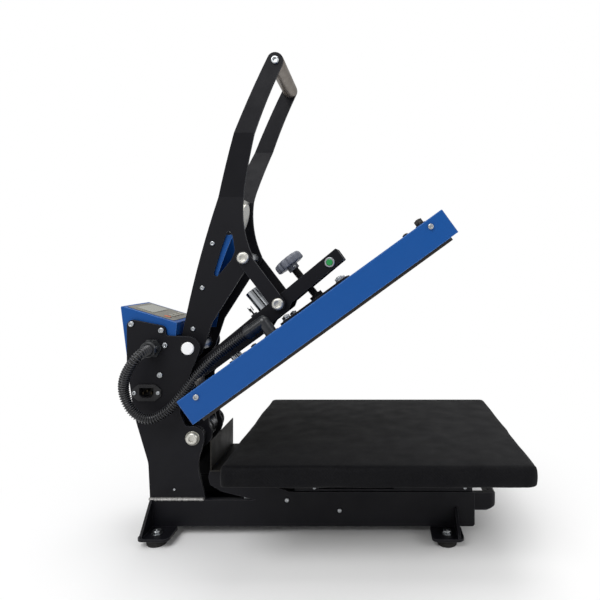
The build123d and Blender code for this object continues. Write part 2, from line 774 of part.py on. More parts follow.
def beam_web():
    """Top and end sheet between the arm plates, the guide bushes and the spring rod."""
    front = BEAM_FRONT - 1
    rear = -215.0
    profile = outline(
        [
            (rear, beam_top(rear) - WEB_SHEET),
            (front - WEB_SHEET, beam_top(front) - WEB_SHEET),
            (front - WEB_SHEET, beam_top(front) - BEAM_HEIGHT + 1),
            (front, beam_top(front) - BEAM_HEIGHT + 1),
            (front, beam_top(front)),
            (rear, beam_top(rear)),
        ]
    )
    web = panel(profile, -ARM_INNER, ARM_INNER)
    for side in (-1, 1):
        bush = Pos(0, side * GUIDE_Y, -WEB_SHEET - 22) * Cylinder(
            GUIDE_RADIUS + 3.5, 24, align=(Align.CENTER, Align.CENTER, Align.MIN)
        )
        bore = Pos(0, side * GUIDE_Y, -60) * Cylinder(
            GUIDE_RADIUS + FIT, 55, align=(Align.CENTER, Align.CENTER, Align.MIN)
        )
        web += on_beam(GUIDE_X, bush)
        web -= on_beam(GUIDE_X, bore)
    web -= on_beam(STUD_X, Cylinder(STUD_BUSH_RADIUS + FIT, 40))
    rod = rod_y(SPRING_ROD, SPRING_ROD_RADIUS, -ARM_INNER, ARM_INNER)
    return opened(group(web, rod))


GUIDE_X = -190.0
GUIDE_Y = 17.0
GUIDE_RADIUS = 5.0
STUD_BUSH_RADIUS = 10.0


def stud_bush():
    """Threaded bush in the web that the pressure screw turns in."""
    low = -BEAM_HEIGHT + 2
    bush = Pos(0, 0, low) * Cylinder(
        STUD_BUSH_RADIUS, -low, align=(Align.CENTER, Align.CENTER, Align.MIN)
    )
    collar = Pos(0, 0, low) * Cylinder(
        STUD_BUSH_RADIUS + 4, -low - WEB_SHEET, align=(Align.CENTER, Align.CENTER, Align.MIN)
    )
    return opened(on_beam(STUD_X, bush + collar - Cylinder(STUD_RADIUS + FIT, 100)))


def pivot_sleeve():
    """Tube through the arm plates that turns on the main pivot shaft."""
    tube = rod_y(MAIN_PIVOT, SHAFT_RADIUS + SLEEVE_WALL, -ARM_HALF_WIDTH - 4, ARM_HALF_WIDTH + 4)
    return tube - rod_y(MAIN_PIVOT, SHAFT_RADIUS + FIT, -60, 60)


def holding_magnet():
    """Electromagnet that holds the lever down, standing on the beam."""
    body = Cylinder(MAGNET_RADIUS, MAGNET_HEIGHT, align=(Align.CENTER, Align.CENTER, Align.MIN))
    body = chamfer(body.edges().group_by(Axis.Z)[-1], 0.8)
    groove = Pos(0, 0, MAGNET_HEIGHT - 3) * (Cylinder(9, 10) - Cylinder(7.6, 10))
    groove &= Pos(0, 0, MAGNET_HEIGHT - 2) * Cylinder(12, 8, align=(Align.CENTER, Align.CENTER, Align.MIN))
    return opened(on_beam(MAGNET_X, body - groove))


def magnet_lead():
    """Two-pin terminal beside the magnet and the short lead into the beam."""
    base = Pos(-23, 0, 2.5) * Box(10, 14, 5)
    pins = [Pos(-23, y, 5) * Cylinder(0.9, 12, align=(Align.CENTER, Align.CENTER, Align.MIN)) for y in (-3, 3)]
    return opened(on_beam(MAGNET_X, base + pins[0] + pins[1]))


def button_housing():
    """Threaded body and bezel of the push button in the left arm plate."""
    face = ARM_HALF_WIDTH
    bezel = rod_y(BUTTON_AT, BUTTON_BEZEL_RADIUS, -face - 2.5, -face)
    bezel = chamfer(bezel.edges().group_by(Axis.Y)[0], 0.8)
    body = rod_y(BUTTON_AT, BUTTON_BODY_RADIUS, -face, -face + 18)
    well = rod_y(BUTTON_AT, BUTTON_CAP_RADIUS + CLEAR, -face - 3, -face + 5)
    return opened(bezel + body - well)


def button_cap():
    """Moving cap of the push button."""
    face = ARM_HALF_WIDTH
    cap = rod_y(BUTTON_AT, BUTTON_CAP_RADIUS, -face - 3.2, -face + 5 - BUTTON_TRAVEL - CLEAR)
    cap = chamfer(cap.edges().group_by(Axis.Y)[0], 0.5)
    return opened(cap)


def return_spring():
    """Close-wound torsion springs round the pivot sleeve, each with two legs."""
    low = SPRING_RADIUS - SPRING_WIRE
    points = [(low, 0.0)]
    for turn in range(SPRING_TURNS):
        start = turn * SPRING_PITCH
        points.append((SPRING_RADIUS, start))
        points.append((SPRING_RADIUS + SPRING_WIRE, start + 0.25 * SPRING_PITCH))
        points.append((SPRING_RADIUS + SPRING_WIRE, start + 0.75 * SPRING_PITCH))
    end = SPRING_TURNS * SPRING_PITCH
    points += [(SPRING_RADIUS, end), (low, end)]
    face = make_face(Polyline(*points, close=True))
    coil = revolve(Plane.XY * face, Axis.Y)
    coil = Pos(MAIN_PIVOT[0], -end - SPRING_START, MAIN_PIVOT[1]) * coil
    inner = -SPRING_START - SPRING_WIRE
    foot = (MAIN_PIVOT[0] - SPRING_RADIUS, RAIL_REAR_TOP + 28)
    anchor = leg((MAIN_PIVOT[0] - SPRING_RADIUS, MAIN_PIVOT[1]), foot, inner)
    rod = opened_point(SPRING_ROD[0], 0, SPRING_ROD[1])
    tip = (rod[0] + SPRING_ROD_RADIUS + SPRING_WIRE, rod[2] + 6)
    lifter = leg((MAIN_PIVOT[0] + SPRING_RADIUS - 1, MAIN_PIVOT[1] + 3), tip, -end - SPRING_START + 2)
    return pair(coil + anchor + lifter)


def leg(start, end, y):
    """Straight spring leg between two (x, z) points at one Y."""
    run = Vector(end[0] - start[0], 0, end[1] - start[1])
    place = Plane((start[0], y, start[1]), z_dir=run)
    low = (Align.CENTER, Align.CENTER, Align.MIN)
    return place * Cylinder(SPRING_WIRE, run.length, align=low)


SPRING_RADIUS = 16.5
SPRING_WIRE = 1.8
SPRING_TURNS = 4
SPRING_PITCH = 4.6
SPRING_START = 4.0
SPRING_ROD = (-283.0, 208.0)
SPRING_ROD_RADIUS = 4.0


# Heater platen, drawn shut and swung open

def heater_plate():
    """Cast heating platen."""
    face = RectangleRounded(PLATEN_LENGTH, PLATEN_WIDTH, HEATER_CORNER)
    return opened(slab(face, HEATER_BOTTOM, HEATER_TOP))


def insulation_mat():
    """Mineral mat above the platen, inside the housing."""
    face = Rectangle(PLATEN_LENGTH - 20, PLATEN_WIDTH - 2 * STUD_INSET_Y - 16)
    return opened(slab(face, HEATER_TOP + FIT, HEATER_TOP + INSULATION_THICKNESS))


BRIDGE_HALF_X = 56.5
BRIDGE_HALF_Y = 41.0
BRIDGE_X = -10.5
STUD_INSET_X = 25.0
STUD_INSET_Y = 14.0


def cover_stud_places():
    """Plan places of the four housing studs."""
    x = PLATEN_LENGTH / 2 - STUD_INSET_X
    y = PLATEN_WIDTH / 2 - STUD_INSET_Y
    return [(side_x * x, side_y * y) for side_x in (-1, 1) for side_y in (-1, 1)]


def bridge_bolt_places():
    """Plan places of the four bolts of the bridge plate."""
    return [
        (BRIDGE_X + side_x * BRIDGE_HALF_X, side_y * BRIDGE_HALF_Y)
        for side_x in (-1, 1)
        for side_y in (-1, 1)
    ]


def heater_cover():
    """Folded sheet housing over the platen, open below."""
    shell = slab(RectangleRounded(COVER_LENGTH, COVER_WIDTH, 2.5), COVER_BOTTOM, COVER_TOP)
    shell = chamfer(shell.edges().group_by(Axis.Z)[-1], 1)
    room = Rectangle(COVER_LENGTH - 2 * COVER_SHEET, COVER_WIDTH - 2 * COVER_SHEET)
    shell -= slab(room, COVER_BOTTOM - 1, COVER_TOP - COVER_SHEET)
    for x, y in cover_stud_places():
        shell -= rod_z(x, y, 4 + FIT, COVER_TOP - 5, COVER_TOP + 5)
    return opened(shell)


def cover_screw_places():
    """Side view places of the screws through the housing's long sides."""
    x = COVER_LENGTH / 2 - COVER_SCREW_INSET
    return [(-x, COVER_TOP - COVER_SCREW_DROP), (x, COVER_TOP - COVER_SCREW_DROP)]


def cover_screws():
    """Socket screws in the housing's long sides, each in its inner block."""
    half = COVER_WIDTH / 2
    screws = []
    for at in cover_screw_places():
        screw = screw_head(at, half, 4.4, M6_HEAD_HEIGHT)
        tab = block(
            at[0] - 8, at[0] + 8, -half + COVER_SHEET, -half + COVER_SHEET + 5, HEATER_TOP, at[1] + 6
        )
        foot = block(at[0] - 8, at[0] + 8, -half + COVER_SHEET, -half + 15, HEATER_TOP, HEATER_TOP + 2)
        screws += [pair(screw), pair(tab + foot)]
    return opened(group(*screws))


def cover_studs():
    """Corner studs from the platen through the housing, with their nuts."""
    studs = []
    for x, y in cover_stud_places():
        stud = rod_z(x, y, 4, HEATER_TOP, COVER_TOP + 12)
        stud += Pos(x, y, COVER_TOP) * extrude(RegularPolygon(7.2, 6), amount=8)
        studs.append(stud + rod_z(x, y, 6, HEATER_TOP, COVER_TOP - COVER_SHEET))
    return opened(group(*studs))


def bridge_plate():
    """Steel plate on the housing that takes the push of the screw."""
    x_half = BRIDGE_HALF_X + 14
    y_half = BRIDGE_HALF_Y + 14
    face = Pos(BRIDGE_X, 0) * RectangleRounded(2 * x_half, 2 * y_half, 10)
    plate = slab(face, COVER_TOP, COVER_TOP + BRIDGE_SHEET)
    foot = stud_foot()
    hub = Pos(*foot) * Rot(0, -BEAM_TILT, 0) * Cylinder(
        12.5, 9, align=(Align.CENTER, Align.CENTER, Align.MIN)
    )
    hub = hub & slab(Pos(foot[0], 0) * Circle(30), COVER_TOP + 1, COVER_TOP + 60)
    socket = Pos(*foot) * Rot(0, -BEAM_TILT, 0) * Pos(0, 0, 4) * Cylinder(
        STUD_RADIUS + FIT, 30, align=(Align.CENTER, Align.CENTER, Align.MIN)
    )
    return opened(plate + hub - socket)


def stud_foot():
    """Point where the pressure screw's axis meets the housing's top."""
    fall = (beam_top(STUD_X) - COVER_TOP - BRIDGE_SHEET + 2) / math.cos(math.radians(BEAM_TILT))
    x = STUD_X + fall * math.sin(math.radians(BEAM_TILT))
    return (x, 0, COVER_TOP + BRIDGE_SHEET - 2)


def bridge_bolts():
    """Hexagon heads that hold the bridge plate down."""
    top = COVER_TOP + BRIDGE_SHEET
    bolts = [Pos(x, y, top) * extrude(RegularPolygon(7.5, 6), amount=5.3) for x, y in bridge_bolt_places()]
    return opened(group(*bolts))


def guide_pins():
    """Pins on the housing that keep it square to the arm."""
    pins = []
    for side in (-1, 1):
        pin = Pos(0, side * GUIDE_Y, -WEB_SHEET - 4 - 60) * Cylinder(
            GUIDE_RADIUS, 60, align=(Align.CENTER, Align.CENTER, Align.MIN)
        )
        pin = on_beam(GUIDE_X, pin) & slab(Pos(GUIDE_X, side * GUIDE_Y) * Rectangle(60, 30), COVER_TOP, 400)
        pins.append(pin + rod_z(GUIDE_X + 2.2, side * GUIDE_Y, 12, COVER_TOP, COVER_TOP + 4))
    return opened(group(*pins))


def hose_elbow():
    """Moulded elbow on the housing that the hose plugs into."""
    height = COVER_TOP + ELBOW_RISE
    riser = rod_z(ELBOW_X, ELBOW_Y, ELBOW_RADIUS, COVER_TOP, height)
    knee = Pos(ELBOW_X, ELBOW_Y, height) * Sphere(ELBOW_RADIUS)
    mouth = Pos(ELBOW_X, ELBOW_Y, height) * Rot(0, -90, 0)
    low = (Align.CENTER, Align.CENTER, Align.MIN)
    arm = mouth * Cylinder(ELBOW_RADIUS, ELBOW_REACH, align=low)
    ring = mouth * Pos(0, 0, ELBOW_REACH - 12) * Cylinder(ELBOW_RADIUS + 1.5, 9, align=low)
    flange = rod_z(ELBOW_X, ELBOW_Y, ELBOW_RADIUS + 3, COVER_TOP, COVER_TOP + 3)
    socket = mouth * Pos(0, 0, ELBOW_REACH - HOSE_INSERT) * Cylinder(HOSE_RADIUS + CLEAR, 60, align=low)
    return opened(riser + knee + arm + ring + flange - socket)


HOSE_INSERT = 9.0


# Pressure screw

def pressure_stud():
    """Threaded screw from the knob to the bridge plate."""
    foot = -(beam_top(STUD_X) - stud_foot()[2]) / math.cos(math.radians(BEAM_TILT)) + 4
    stud = Pos(0, 0, foot) * Cylinder(
        STUD_RADIUS, KNOB_STANDOFF - foot, align=(Align.CENTER, Align.CENTER, Align.MIN)
    )
    return opened(on_beam(STUD_X, stud))


def pressure_knob():
    """Lobed hand knob with its hub."""
    face = Circle(KNOB_RADIUS)
    for lobe in range(KNOB_LOBES):
        at = on_circle((0, 0), KNOB_RADIUS + 3.5, lobe * 360 / KNOB_LOBES)
        face -= disc(at, 6)
    low = (Align.CENTER, Align.CENTER, Align.MIN)
    wheel = Pos(0, 0, KNOB_STANDOFF) * extrude(face, amount=KNOB_HEIGHT)
    dome = Pos(0, 0, KNOB_STANDOFF + KNOB_HEIGHT - 70) * Sphere(72)
    wheel = wheel & dome
    hub = Pos(0, 0, KNOB_STANDOFF - 9) * Cylinder(10.5, 12, align=low)
    bore = Pos(0, 0, -50) * Cylinder(STUD_RADIUS + FIT, KNOB_STANDOFF + 50, align=low)
    return opened(on_beam(STUD_X, wheel + hub - bore))


# Lever

def lever_profile():
    """Outline of a lever plate in the side view."""
    eye = 20.0
    boss = 15.0
    top = GRIP_AT
    tip = 13.5
    back = ThreePointArc(on_circle(top, tip, 155), (-277.0, 566.0), on_circle(LEVER_PIVOT, eye, 172))
    foot = ThreePointArc(
        on_circle(LEVER_PIVOT, eye, 172), on_circle(LEVER_PIVOT, eye, 270), on_circle(LEVER_PIVOT, eye, -20)
    )
    shin = Line(on_circle(LEVER_PIVOT, eye, -20), (-285.0, 358.0))
    under = Line((-285.0, 358.0), on_circle(LINK_TOP, boss, -60))
    nose = ThreePointArc(on_circle(LINK_TOP, boss, -60), on_circle(LINK_TOP, boss, -20), on_circle(LINK_TOP, boss, 20))
    belly = ThreePointArc(on_circle(LINK_TOP, boss, 20), (-231.5, 540.0), (-226.5, 596.0))
    front = ThreePointArc((-226.5, 596.0), (-198.0, 690.0), on_circle(top, tip, -25))
    head = ThreePointArc(on_circle(top, tip, -25), on_circle(top, tip, 65), on_circle(top, tip, 155))
    return make_face(back + foot + shin + under + nose + belly + front + head)


GRIP_AT = (-168.3, 797.4)
LEVER_BEND_LOW = 575.0
LEVER_BEND_HIGH = 677.0
SPINE_SCREWS = [(-284.0, 495.0), (-301.5, 418.0), (-317.5, 347.0)]


def lever_window():
    """Outline of the long window above the lever's lower edge."""
    return outline(
        [
            (-258.0, 519.0),
            (-250.0, 512.0),
            (-245.0, 482.0),
            (-252.0, 466.0),
            (-276.0, 437.0),
            (-283.0, 440.0),
            (-270.0, 484.0),
        ],
        [4, 12, 14, 20, 4, 5, 40],
    )


def lever_plate():
    """Left lever plate, folded outwards above the linkage."""
    reach = LEVER_TOP_HALF_WIDTH
    fold = outline(
        [
            (-LEVER_OUTER, 200.0),
            (-LEVER_OUTER, LEVER_BEND_LOW),
            (-reach, LEVER_BEND_HIGH),
            (-reach, 900.0),
            (-reach + PLATE, 900.0),
            (-reach + PLATE, LEVER_BEND_HIGH - 1),
            (-LEVER_INNER, LEVER_BEND_LOW - 1),
            (-LEVER_INNER, 200.0),
        ],
    )
    folded = cross(fold, -400, 0)
    profile = lever_profile() - lever_window()
    profile -= disc(LEVER_PIVOT, SHAFT_RADIUS + SLEEVE_WALL + FIT)
    profile -= disc(LINK_TOP, M12_RADIUS + FIT)
    profile -= disc(GRIP_AT, 4 + FIT)
    return folded & panel(profile, -reach - 1, 0)


def lever_spine():
    """Folded channel between the lever plates, behind the window."""
    web = ThreePointArc((-274.5, 510.0), (-301.0, 430.0), (-322.0, 342.0))
    edge = ThreePointArc((-250.0, 510.0), (-276.0, 440.0), (-300.0, 342.0))
    face = make_face(web + Line(web @ 1, edge @ 1) + edge + Line(edge @ 0, web @ 0))
    half = LEVER_INNER
    sheet = 1.5
    channel = panel(face, -half, half)
    room = panel(Pos(sheet, 0) * face, -half + sheet, half - sheet)
    return channel - room


def lever_sleeve():
    """Tube across the foot of the lever that turns on its shaft."""
    tube = rod_y(LEVER_PIVOT, SHAFT_RADIUS + SLEEVE_WALL, -TOWER_INNER + 0.5, TOWER_INNER - 0.5)
    return tube - rod_y(LEVER_PIVOT, SHAFT_RADIUS + FIT, -90, 90)


def lever_grip():
    """Round grip between the tops of the lever plates."""
    half = LEVER_TOP_HALF_WIDTH - PLATE
    grip = rod_y(GRIP_AT, GRIP_RADIUS, -half, half)
    grip = chamfer(grip.edges().filter_by(GeomType.CIRCLE), 1)
    return grip - rod_y(GRIP_AT, 4 + FIT, -half, -half + 30) - rod_y(GRIP_AT, 4 + FIT, half - 30, half)


def lever_screws():
    """Screws of the grip and of the spine channel."""
    screws = [pair(cap_screw(GRIP_AT, LEVER_TOP_HALF_WIDTH, 7, 3.6, 4, 30))]
    for at in SPINE_SCREWS:
        screws.append(pair(screw_head(at, LEVER_OUTER, 4.2, 2.6)))
    return group(*screws)


def armature_bracket():
    """Cross sheet between the lever plates that carries the armature."""
    at = ARMATURE_AT
    turn = ARMATURE_TURN
    plate = Box(6, 2 * LEVER_INNER, 62)
    hole = Rot(0, 90, 0) * Cylinder(4 + FIT, 40)
    return Pos(at[0], 0, at[1]) * Rot(0, turn, 0) * Pos(-3 - 4, 0, 0) * (plate - hole)


ARMATURE_AT = (-240.0, 543.0)
ARMATURE_TURN = 12.0


def armature_disc():
    """Steel disc that the magnet holds, with its centre bolt."""
    turned = Rot(0, 90, 0)
    low = (Align.CENTER, Align.CENTER, Align.MIN)
    plate = turned * Pos(0, 0, -4) * Cylinder(ARMATURE_RADIUS, 7, align=low)
    plate = chamfer(plate.edges().group_by(Axis.X)[-1], 1)
    bolt = turned * Pos(0, 0, -14) * Cylinder(4, 12, align=low)
    nut = turned * Pos(0, 0, -15) * extrude(RegularPolygon(7.2, 6), amount=5)
    return Pos(ARMATURE_AT[0], 0, ARMATURE_AT[1]) * Rot(0, ARMATURE_TURN, 0) * (plate + bolt + nut)


# Links

def link():
    """Left link between the lever and the beam."""
    face = bar(LINK_TOP, LINK_FOOT, 12.2)
    face -= disc(LINK_TOP, M12_RADIUS + FIT)
    face -= disc(LINK_FOOT, M12_RADIUS + FIT)
    return panel(face, -LINK_OUTER, -LINK_INNER)


def link_axle():
    """Through bolt at the top of the links, with its spacer tube."""
    axle = rod_y(LINK_TOP, M12_RADIUS, -LINK_OUTER, LINK_OUTER)
    half = LEVER_INNER - CLEAR
    spacer = rod_y(LINK_TOP, M12_RADIUS + 3.5, -half, half)
    head = cap_screw(LINK_TOP, LINK_OUTER, M12_HEAD_RADIUS, M12_HEAD_HEIGHT, 4, 0.5)
    return axle + spacer + head + right_of(head)


def link_foot_bolts():
    """Short shoulder bolts at the foot of the links."""
    head = cap_screw(LINK_FOOT, LINK_OUTER, M12_HEAD_RADIUS, M12_HEAD_HEIGHT, M12_RADIUS, PLATE)
    return pair(head)


# Hose

def hose_route():
    """Points the hose runs through, from the gland to the elbow."""
    face = TOWER_OUTER
    height = COVER_TOP + ELBOW_RISE
    mouth = ELBOW_X - ELBOW_REACH
    return [
        (GLAND_AT[0], -face - 13, GLAND_AT[1]),
        (GLAND_AT[0], -face - 50, GLAND_AT[1]),
        (-406.0, -106.0, 281.0),
        (-412.0, -98.0, 248.0),
        (-398.0, -93.0, 214.0),
        (-373.0, -88.0, 201.0),
        (-345.0, -84.0, 215.0),
        (-322.0, -78.0, 243.0),
        (-298.0, -71.0, 276.0),
        (-268.0, -66.0, 306.0),
        opened_point(mouth - 26, ELBOW_Y, height),
        opened_point(mouth + HOSE_INSERT, ELBOW_Y, height),
    ]


def hose_radii(points):
    """Largest arc at each corner that leaves a straight between arcs."""
    radii = []
    last = len(points) - 3
    for corner in range(len(points) - 2):
        before, here, after = points[corner:corner + 3]
        run_in = Vector(here) - Vector(before)
        run_out = Vector(after) - Vector(here)
        half_turn = math.radians(run_in.get_angle(run_out)) / 2
        room_in = run_in.length * (0.9 if corner == 0 else 0.45)
        room_out = run_out.length * (0.9 if corner == last else 0.45)
        radii.append(min(room_in, room_out) / math.tan(half_turn))
    return radii


def hose_path():
    """Centre line of the hose: straight runs joined by tangent arcs."""
    points = hose_route()
    radii = hose_radii(points)
    print("hose radii", [round(radius) for radius in radii])
    return FilletPolyline(*points, radius=radii)


def heater_hose():
    """Ribbed hose, a ruled loft through circles on a steady X axis."""
    path = hose_path()
    length = path.length
    print("hose length", round(length, 1))
    ribs = int((length - 4 * HOSE_RADIUS) / HOSE_RIB_PITCH)
    lead = (length - ribs * HOSE_RIB_PITCH) / 2
    steady = Vector(0.6, -0.8, 0.0)

    def ring(distance, radius):
        """Round section of the hose at a distance along its path."""
        share = distance / length
        tangent = path % share
        across = steady - tangent * steady.dot(tangent)
        return Plane(path @ share, x_dir=across, z_dir=tangent) * Circle(radius)

    stations = [(0.0, HOSE_ROOT_RADIUS)]
    for rib in range(ribs):
        start = lead + rib * HOSE_RIB_PITCH
        stations.append((start + 0.15 * HOSE_RIB_PITCH, HOSE_ROOT_RADIUS))
        stations.append((start + 0.65 * HOSE_RIB_PITCH, HOSE_RADIUS))
    stations.append((length, HOSE_ROOT_RADIUS))
    return loft([ring(*station) for station in stations], ruled=True)


def build():
    """Every node of the press, by name."""
    rail = base_rail()
    slide = slide_rail()
    runner = slide_runner()
    lever = lever_plate()
    side_link = link()
    return {
        "base_rail_left": rail,
        "base_rail_right": right_of(rail),
        "base_pan": base_pan(),
        "foot_brackets": foot_brackets(),
        "rubber_feet": rubber_feet(),
        "foot_bolts": foot_bolts(),
        "tower_plate_left": tower_plate_left(),
        "tower_plate_right": right_of(tower_plate()),
        "tower_back": tower_back(),
        "tower_bar": tower_bar(),
        "pivot_shafts": group(shaft(MAIN_PIVOT), shaft(LEVER_PIVOT)),
        "pivot_bolts": pivot_bolts(),
        "shaft_caps": shaft_caps(),
        "control_box": control_box(),
        "control_panel": control_panel(),
        "display_window": display_window(),
        "body_screws": body_screws(),
        "power_inlet": power_inlet(),
        "inlet_pins": inlet_pins(),
        "hose_gland": hose_gland(),
        "heater_hose": heater_hose(),
        "rear_guard": rear_guard(),
        "slide_rails": pair(slide),
        "return_spring": return_spring(),
        "slide_runners": pair(runner),
        "drawer_frame": drawer_frame(),
        "drawer_handle": drawer_handle(),
        "drawer_screws": drawer_screws(),
        "platen_bearers": platen_bearers(),
        "lower_platen": lower_platen(),
        "platen_pad": platen_pad(),
        "pad_cover": pad_cover(),
        "arm_plate_left": arm_plate_left(),
        "arm_plate_right": opened(right_of(arm_plate())),
        "beam_web": beam_web(),
        "stud_bush": stud_bush(),
        "pivot_sleeve": pivot_sleeve(),
        "holding_magnet": holding_magnet(),
        "magnet_terminal": magnet_lead(),
        "button_housing": button_housing(),
        "button_cap": button_cap(),
        "heater_plate": heater_plate(),
        "insulation_mat": insulation_mat(),
        "heater_cover": heater_cover(),
        "cover_screws": cover_screws(),
        "cover_studs": cover_studs(),
        "bridge_plate": bridge_plate(),
        "bridge_bolts": bridge_bolts(),
        "guide_pins": guide_pins(),
        "hose_elbow": hose_elbow(),
        "pressure_stud": pressure_stud(),
        "pressure_knob": pressure_knob(),
        "lever_plates": pair(lever),
        "lever_spine": lever_spine(),
        "lever_sleeve": lever_sleeve(),
        "lever_grip": lever_grip(),
        "lever_screws": lever_screws(),
        "armature": group(armature_bracket(), armature_disc()),
        "links": pair(side_link),
        "link_bolts": group(link_axle(), link_foot_bolts()),
    }


def centring(parts):
    """Shift along X that centres the whole press on the origin."""
    boxes = [part.bounding_box() for part in parts]
    middle = (min(box.min.X for box in boxes) + max(box.max.X for box in boxes)) / 2
    return round(-middle, 2)


def placed(part, shift):
    """The piece moved along X, as one solid or as a plain group of solids."""
    solids = [Pos(shift, 0, 0) * solid for solid in part.solids()]
    return solids[0] if len(solids) == 1 else Compound(children=solids)


os.makedirs("parts", exist_ok=True)
nodes = build()
shift = centring(nodes.values())
print("shift", shift)
for name, part in nodes.items():
    part = placed(part, shift)
    export_step(part, f"parts/{name}.step")
    print(name, len(part.solids()), round(part.volume))
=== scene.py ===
"""Studio scene of a slide-out clamshell heat press that stands open.

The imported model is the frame. This script dresses every piece of it, replaces the
soft pieces and the fasteners with detailed ones, and lights the press on a pale floor.
"""

from __future__ import annotations

import logging
import math
from dataclasses import dataclass
from enum import Enum
from functools import cache
from typing import Sequence

import bmesh
import bpy
from mathutils import Matrix, Vector
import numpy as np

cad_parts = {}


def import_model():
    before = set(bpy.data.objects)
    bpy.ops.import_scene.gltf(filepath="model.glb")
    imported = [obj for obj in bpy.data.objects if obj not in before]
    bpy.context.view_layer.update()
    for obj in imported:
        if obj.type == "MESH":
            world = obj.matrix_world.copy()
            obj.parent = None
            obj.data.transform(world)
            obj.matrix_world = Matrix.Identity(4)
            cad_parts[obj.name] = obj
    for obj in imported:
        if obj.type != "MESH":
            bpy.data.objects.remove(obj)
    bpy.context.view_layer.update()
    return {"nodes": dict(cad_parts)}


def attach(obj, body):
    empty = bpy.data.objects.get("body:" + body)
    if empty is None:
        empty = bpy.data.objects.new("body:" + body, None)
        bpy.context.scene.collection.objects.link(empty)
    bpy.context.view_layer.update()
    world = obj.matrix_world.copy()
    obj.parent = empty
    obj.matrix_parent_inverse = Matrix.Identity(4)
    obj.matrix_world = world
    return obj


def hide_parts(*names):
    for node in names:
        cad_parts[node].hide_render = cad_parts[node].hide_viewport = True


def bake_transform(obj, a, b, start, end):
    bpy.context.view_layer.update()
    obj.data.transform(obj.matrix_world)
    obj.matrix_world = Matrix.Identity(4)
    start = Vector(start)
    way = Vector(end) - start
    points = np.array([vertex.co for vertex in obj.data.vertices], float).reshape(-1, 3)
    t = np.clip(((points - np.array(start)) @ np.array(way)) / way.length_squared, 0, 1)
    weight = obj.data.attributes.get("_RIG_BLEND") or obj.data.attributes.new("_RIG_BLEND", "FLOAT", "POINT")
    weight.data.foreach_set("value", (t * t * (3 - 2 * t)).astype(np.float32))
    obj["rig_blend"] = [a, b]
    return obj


Material = bpy.types.Material
Mesh = bpy.types.Mesh
Object = bpy.types.Object
Socket = bpy.types.NodeSocket
Tree = bpy.types.NodeTree
Span = tuple[float, float]
Place = tuple[float, float, float]

LOG = logging.getLogger("heat_press")
MM = 0.001
FULL_TURN = 2.0 * math.pi
SIDES = (-1.0, 1.0)
# Points nearer than this, in metres, are one.
SAME_PLACE = 1e-6
UP = Vector((0.0, 0.0, 1.0))
# From the middle of the pad to the row frame's origin, in millimetres.
SHIFT_X = 101.82
# The arm's angle at rest, and its pivot in the side view in millimetres.
OPEN_ANGLE = math.radians(36.0)
MAIN_PIVOT = (-312.0, 164.0)

IOR = 1.5
COAT_ROUGHNESS = 0.12
SHEEN_ROUGHNESS = 0.4
# Gloss drifts over shorter distances than colour.
GLOSS_DRIFT = 2.7
# Drawn lines are long, so their noise is coarse before it is squeezed across them.
LINE_SHARE = 0.06
FLECK_SHARE = 0.6
BEVEL_SAMPLES = 4
HIGHLIGHT_SAMPLES = 6
# How far the shading normal must turn from the face before an edge takes its painted highlight.
HIGHLIGHT_SPAN = (0.99, 0.8)
# Swing and offset of a rib's wave, which clamping turns into flat grooves and round crests.
RIB_WAVE = (-0.85, 0.18)


class Body(str, Enum):
    """The moving groups that new pieces ride on."""

    BASE = "base"
    DRAWER = "drawer"
    ARM = "press_arm"
    PLATEN = "platen"
    KNOB = "knob"
    LEVER = "lever"
    LINK = "link"


def at(x: float, y: float, z: float) -> Vector:
    """Turns millimetres on the drawing, forward, to the right and up, into a place in metres."""
    return Vector(((x + SHIFT_X) * MM, y * MM, z * MM))


def swung(x: float, y: float, z: float) -> Vector:
    """Turns a place drawn with the press shut into the row frame at rest.

    Args:
        x: Millimetres along the shut press.
        y: Millimetres to the operator's right.
        z: Millimetres above the table with the press shut.

    Returns:
        The place in metres with the press open.
    """
    dx, dz = x - MAIN_PIVOT[0], z - MAIN_PIVOT[1]
    cosine, sine = math.cos(OPEN_ANGLE), math.sin(OPEN_ANGLE)
    return at(MAIN_PIVOT[0] + dx * cosine - dz * sine, y, MAIN_PIVOT[1] + dx * sine + dz * cosine)


def platen_normal() -> Vector:
    """The direction that the heater housing's top faces at rest."""
    return Vector((-math.sin(OPEN_ANGLE), 0.0, math.cos(OPEN_ANGLE)))


def linear(code: str) -> tuple[float, float, float, float]:
    """Turns an sRGB hex colour into linear light.

    Args:
        code: Six hex digits with a leading hash.

    Returns:
        Red, green, blue and an alpha of 1.
    """
    values = [int(code[i : i + 2], 16) / 255.0 for i in (1, 3, 5)]
    light = [v / 12.92 if v <= 0.04045 else ((v + 0.055) / 1.055) ** 2.4 for v in values]
    return (light[0], light[1], light[2], 1.0)


def add(
    tree: Tree,
    kind: str,
    settings: dict[str, object] | None = None,
    links: dict[str | int, object] | None = None,
) -> bpy.types.Node:
    """Adds a node with its settings, input values and links.

    Args:
        tree: The node tree that takes the node.
        kind: Blender's name for the node type.
        settings: Attributes of the node.
        links: Input name or number to a value, or to the socket that feeds it.

    Returns:
        The new node.
    """
    node = tree.nodes.new(kind)
    for name, value in (settings or {}).items():
        setattr(node, name, value)
    for key, value in (links or {}).items():
        if isinstance(value, Socket):
            tree.links.new(value, node.inputs[key])
        else:
            node.inputs[key].default_value = value
    return node


def calculate(tree: Tree, operation: str, *terms: float | Socket, clamp: bool = False) -> Socket:
    """Works out one sum, held between 0 and 1 where clamped."""
    settings = {"operation": operation, "use_clamp": clamp}
    return add(tree, "ShaderNodeMath", settings, dict(enumerate(terms))).outputs[0]


def noise(tree: Tree, place: Socket, scale: float, detail: float, **more: float) -> Socket:
    """Soft random patches from 0 to 1, with scale of them to the metre."""
    links = {"Vector": place, "Scale": scale, "Detail": detail, **more}
    return add(tree, "ShaderNodeTexNoise", links=links).outputs["Fac"]


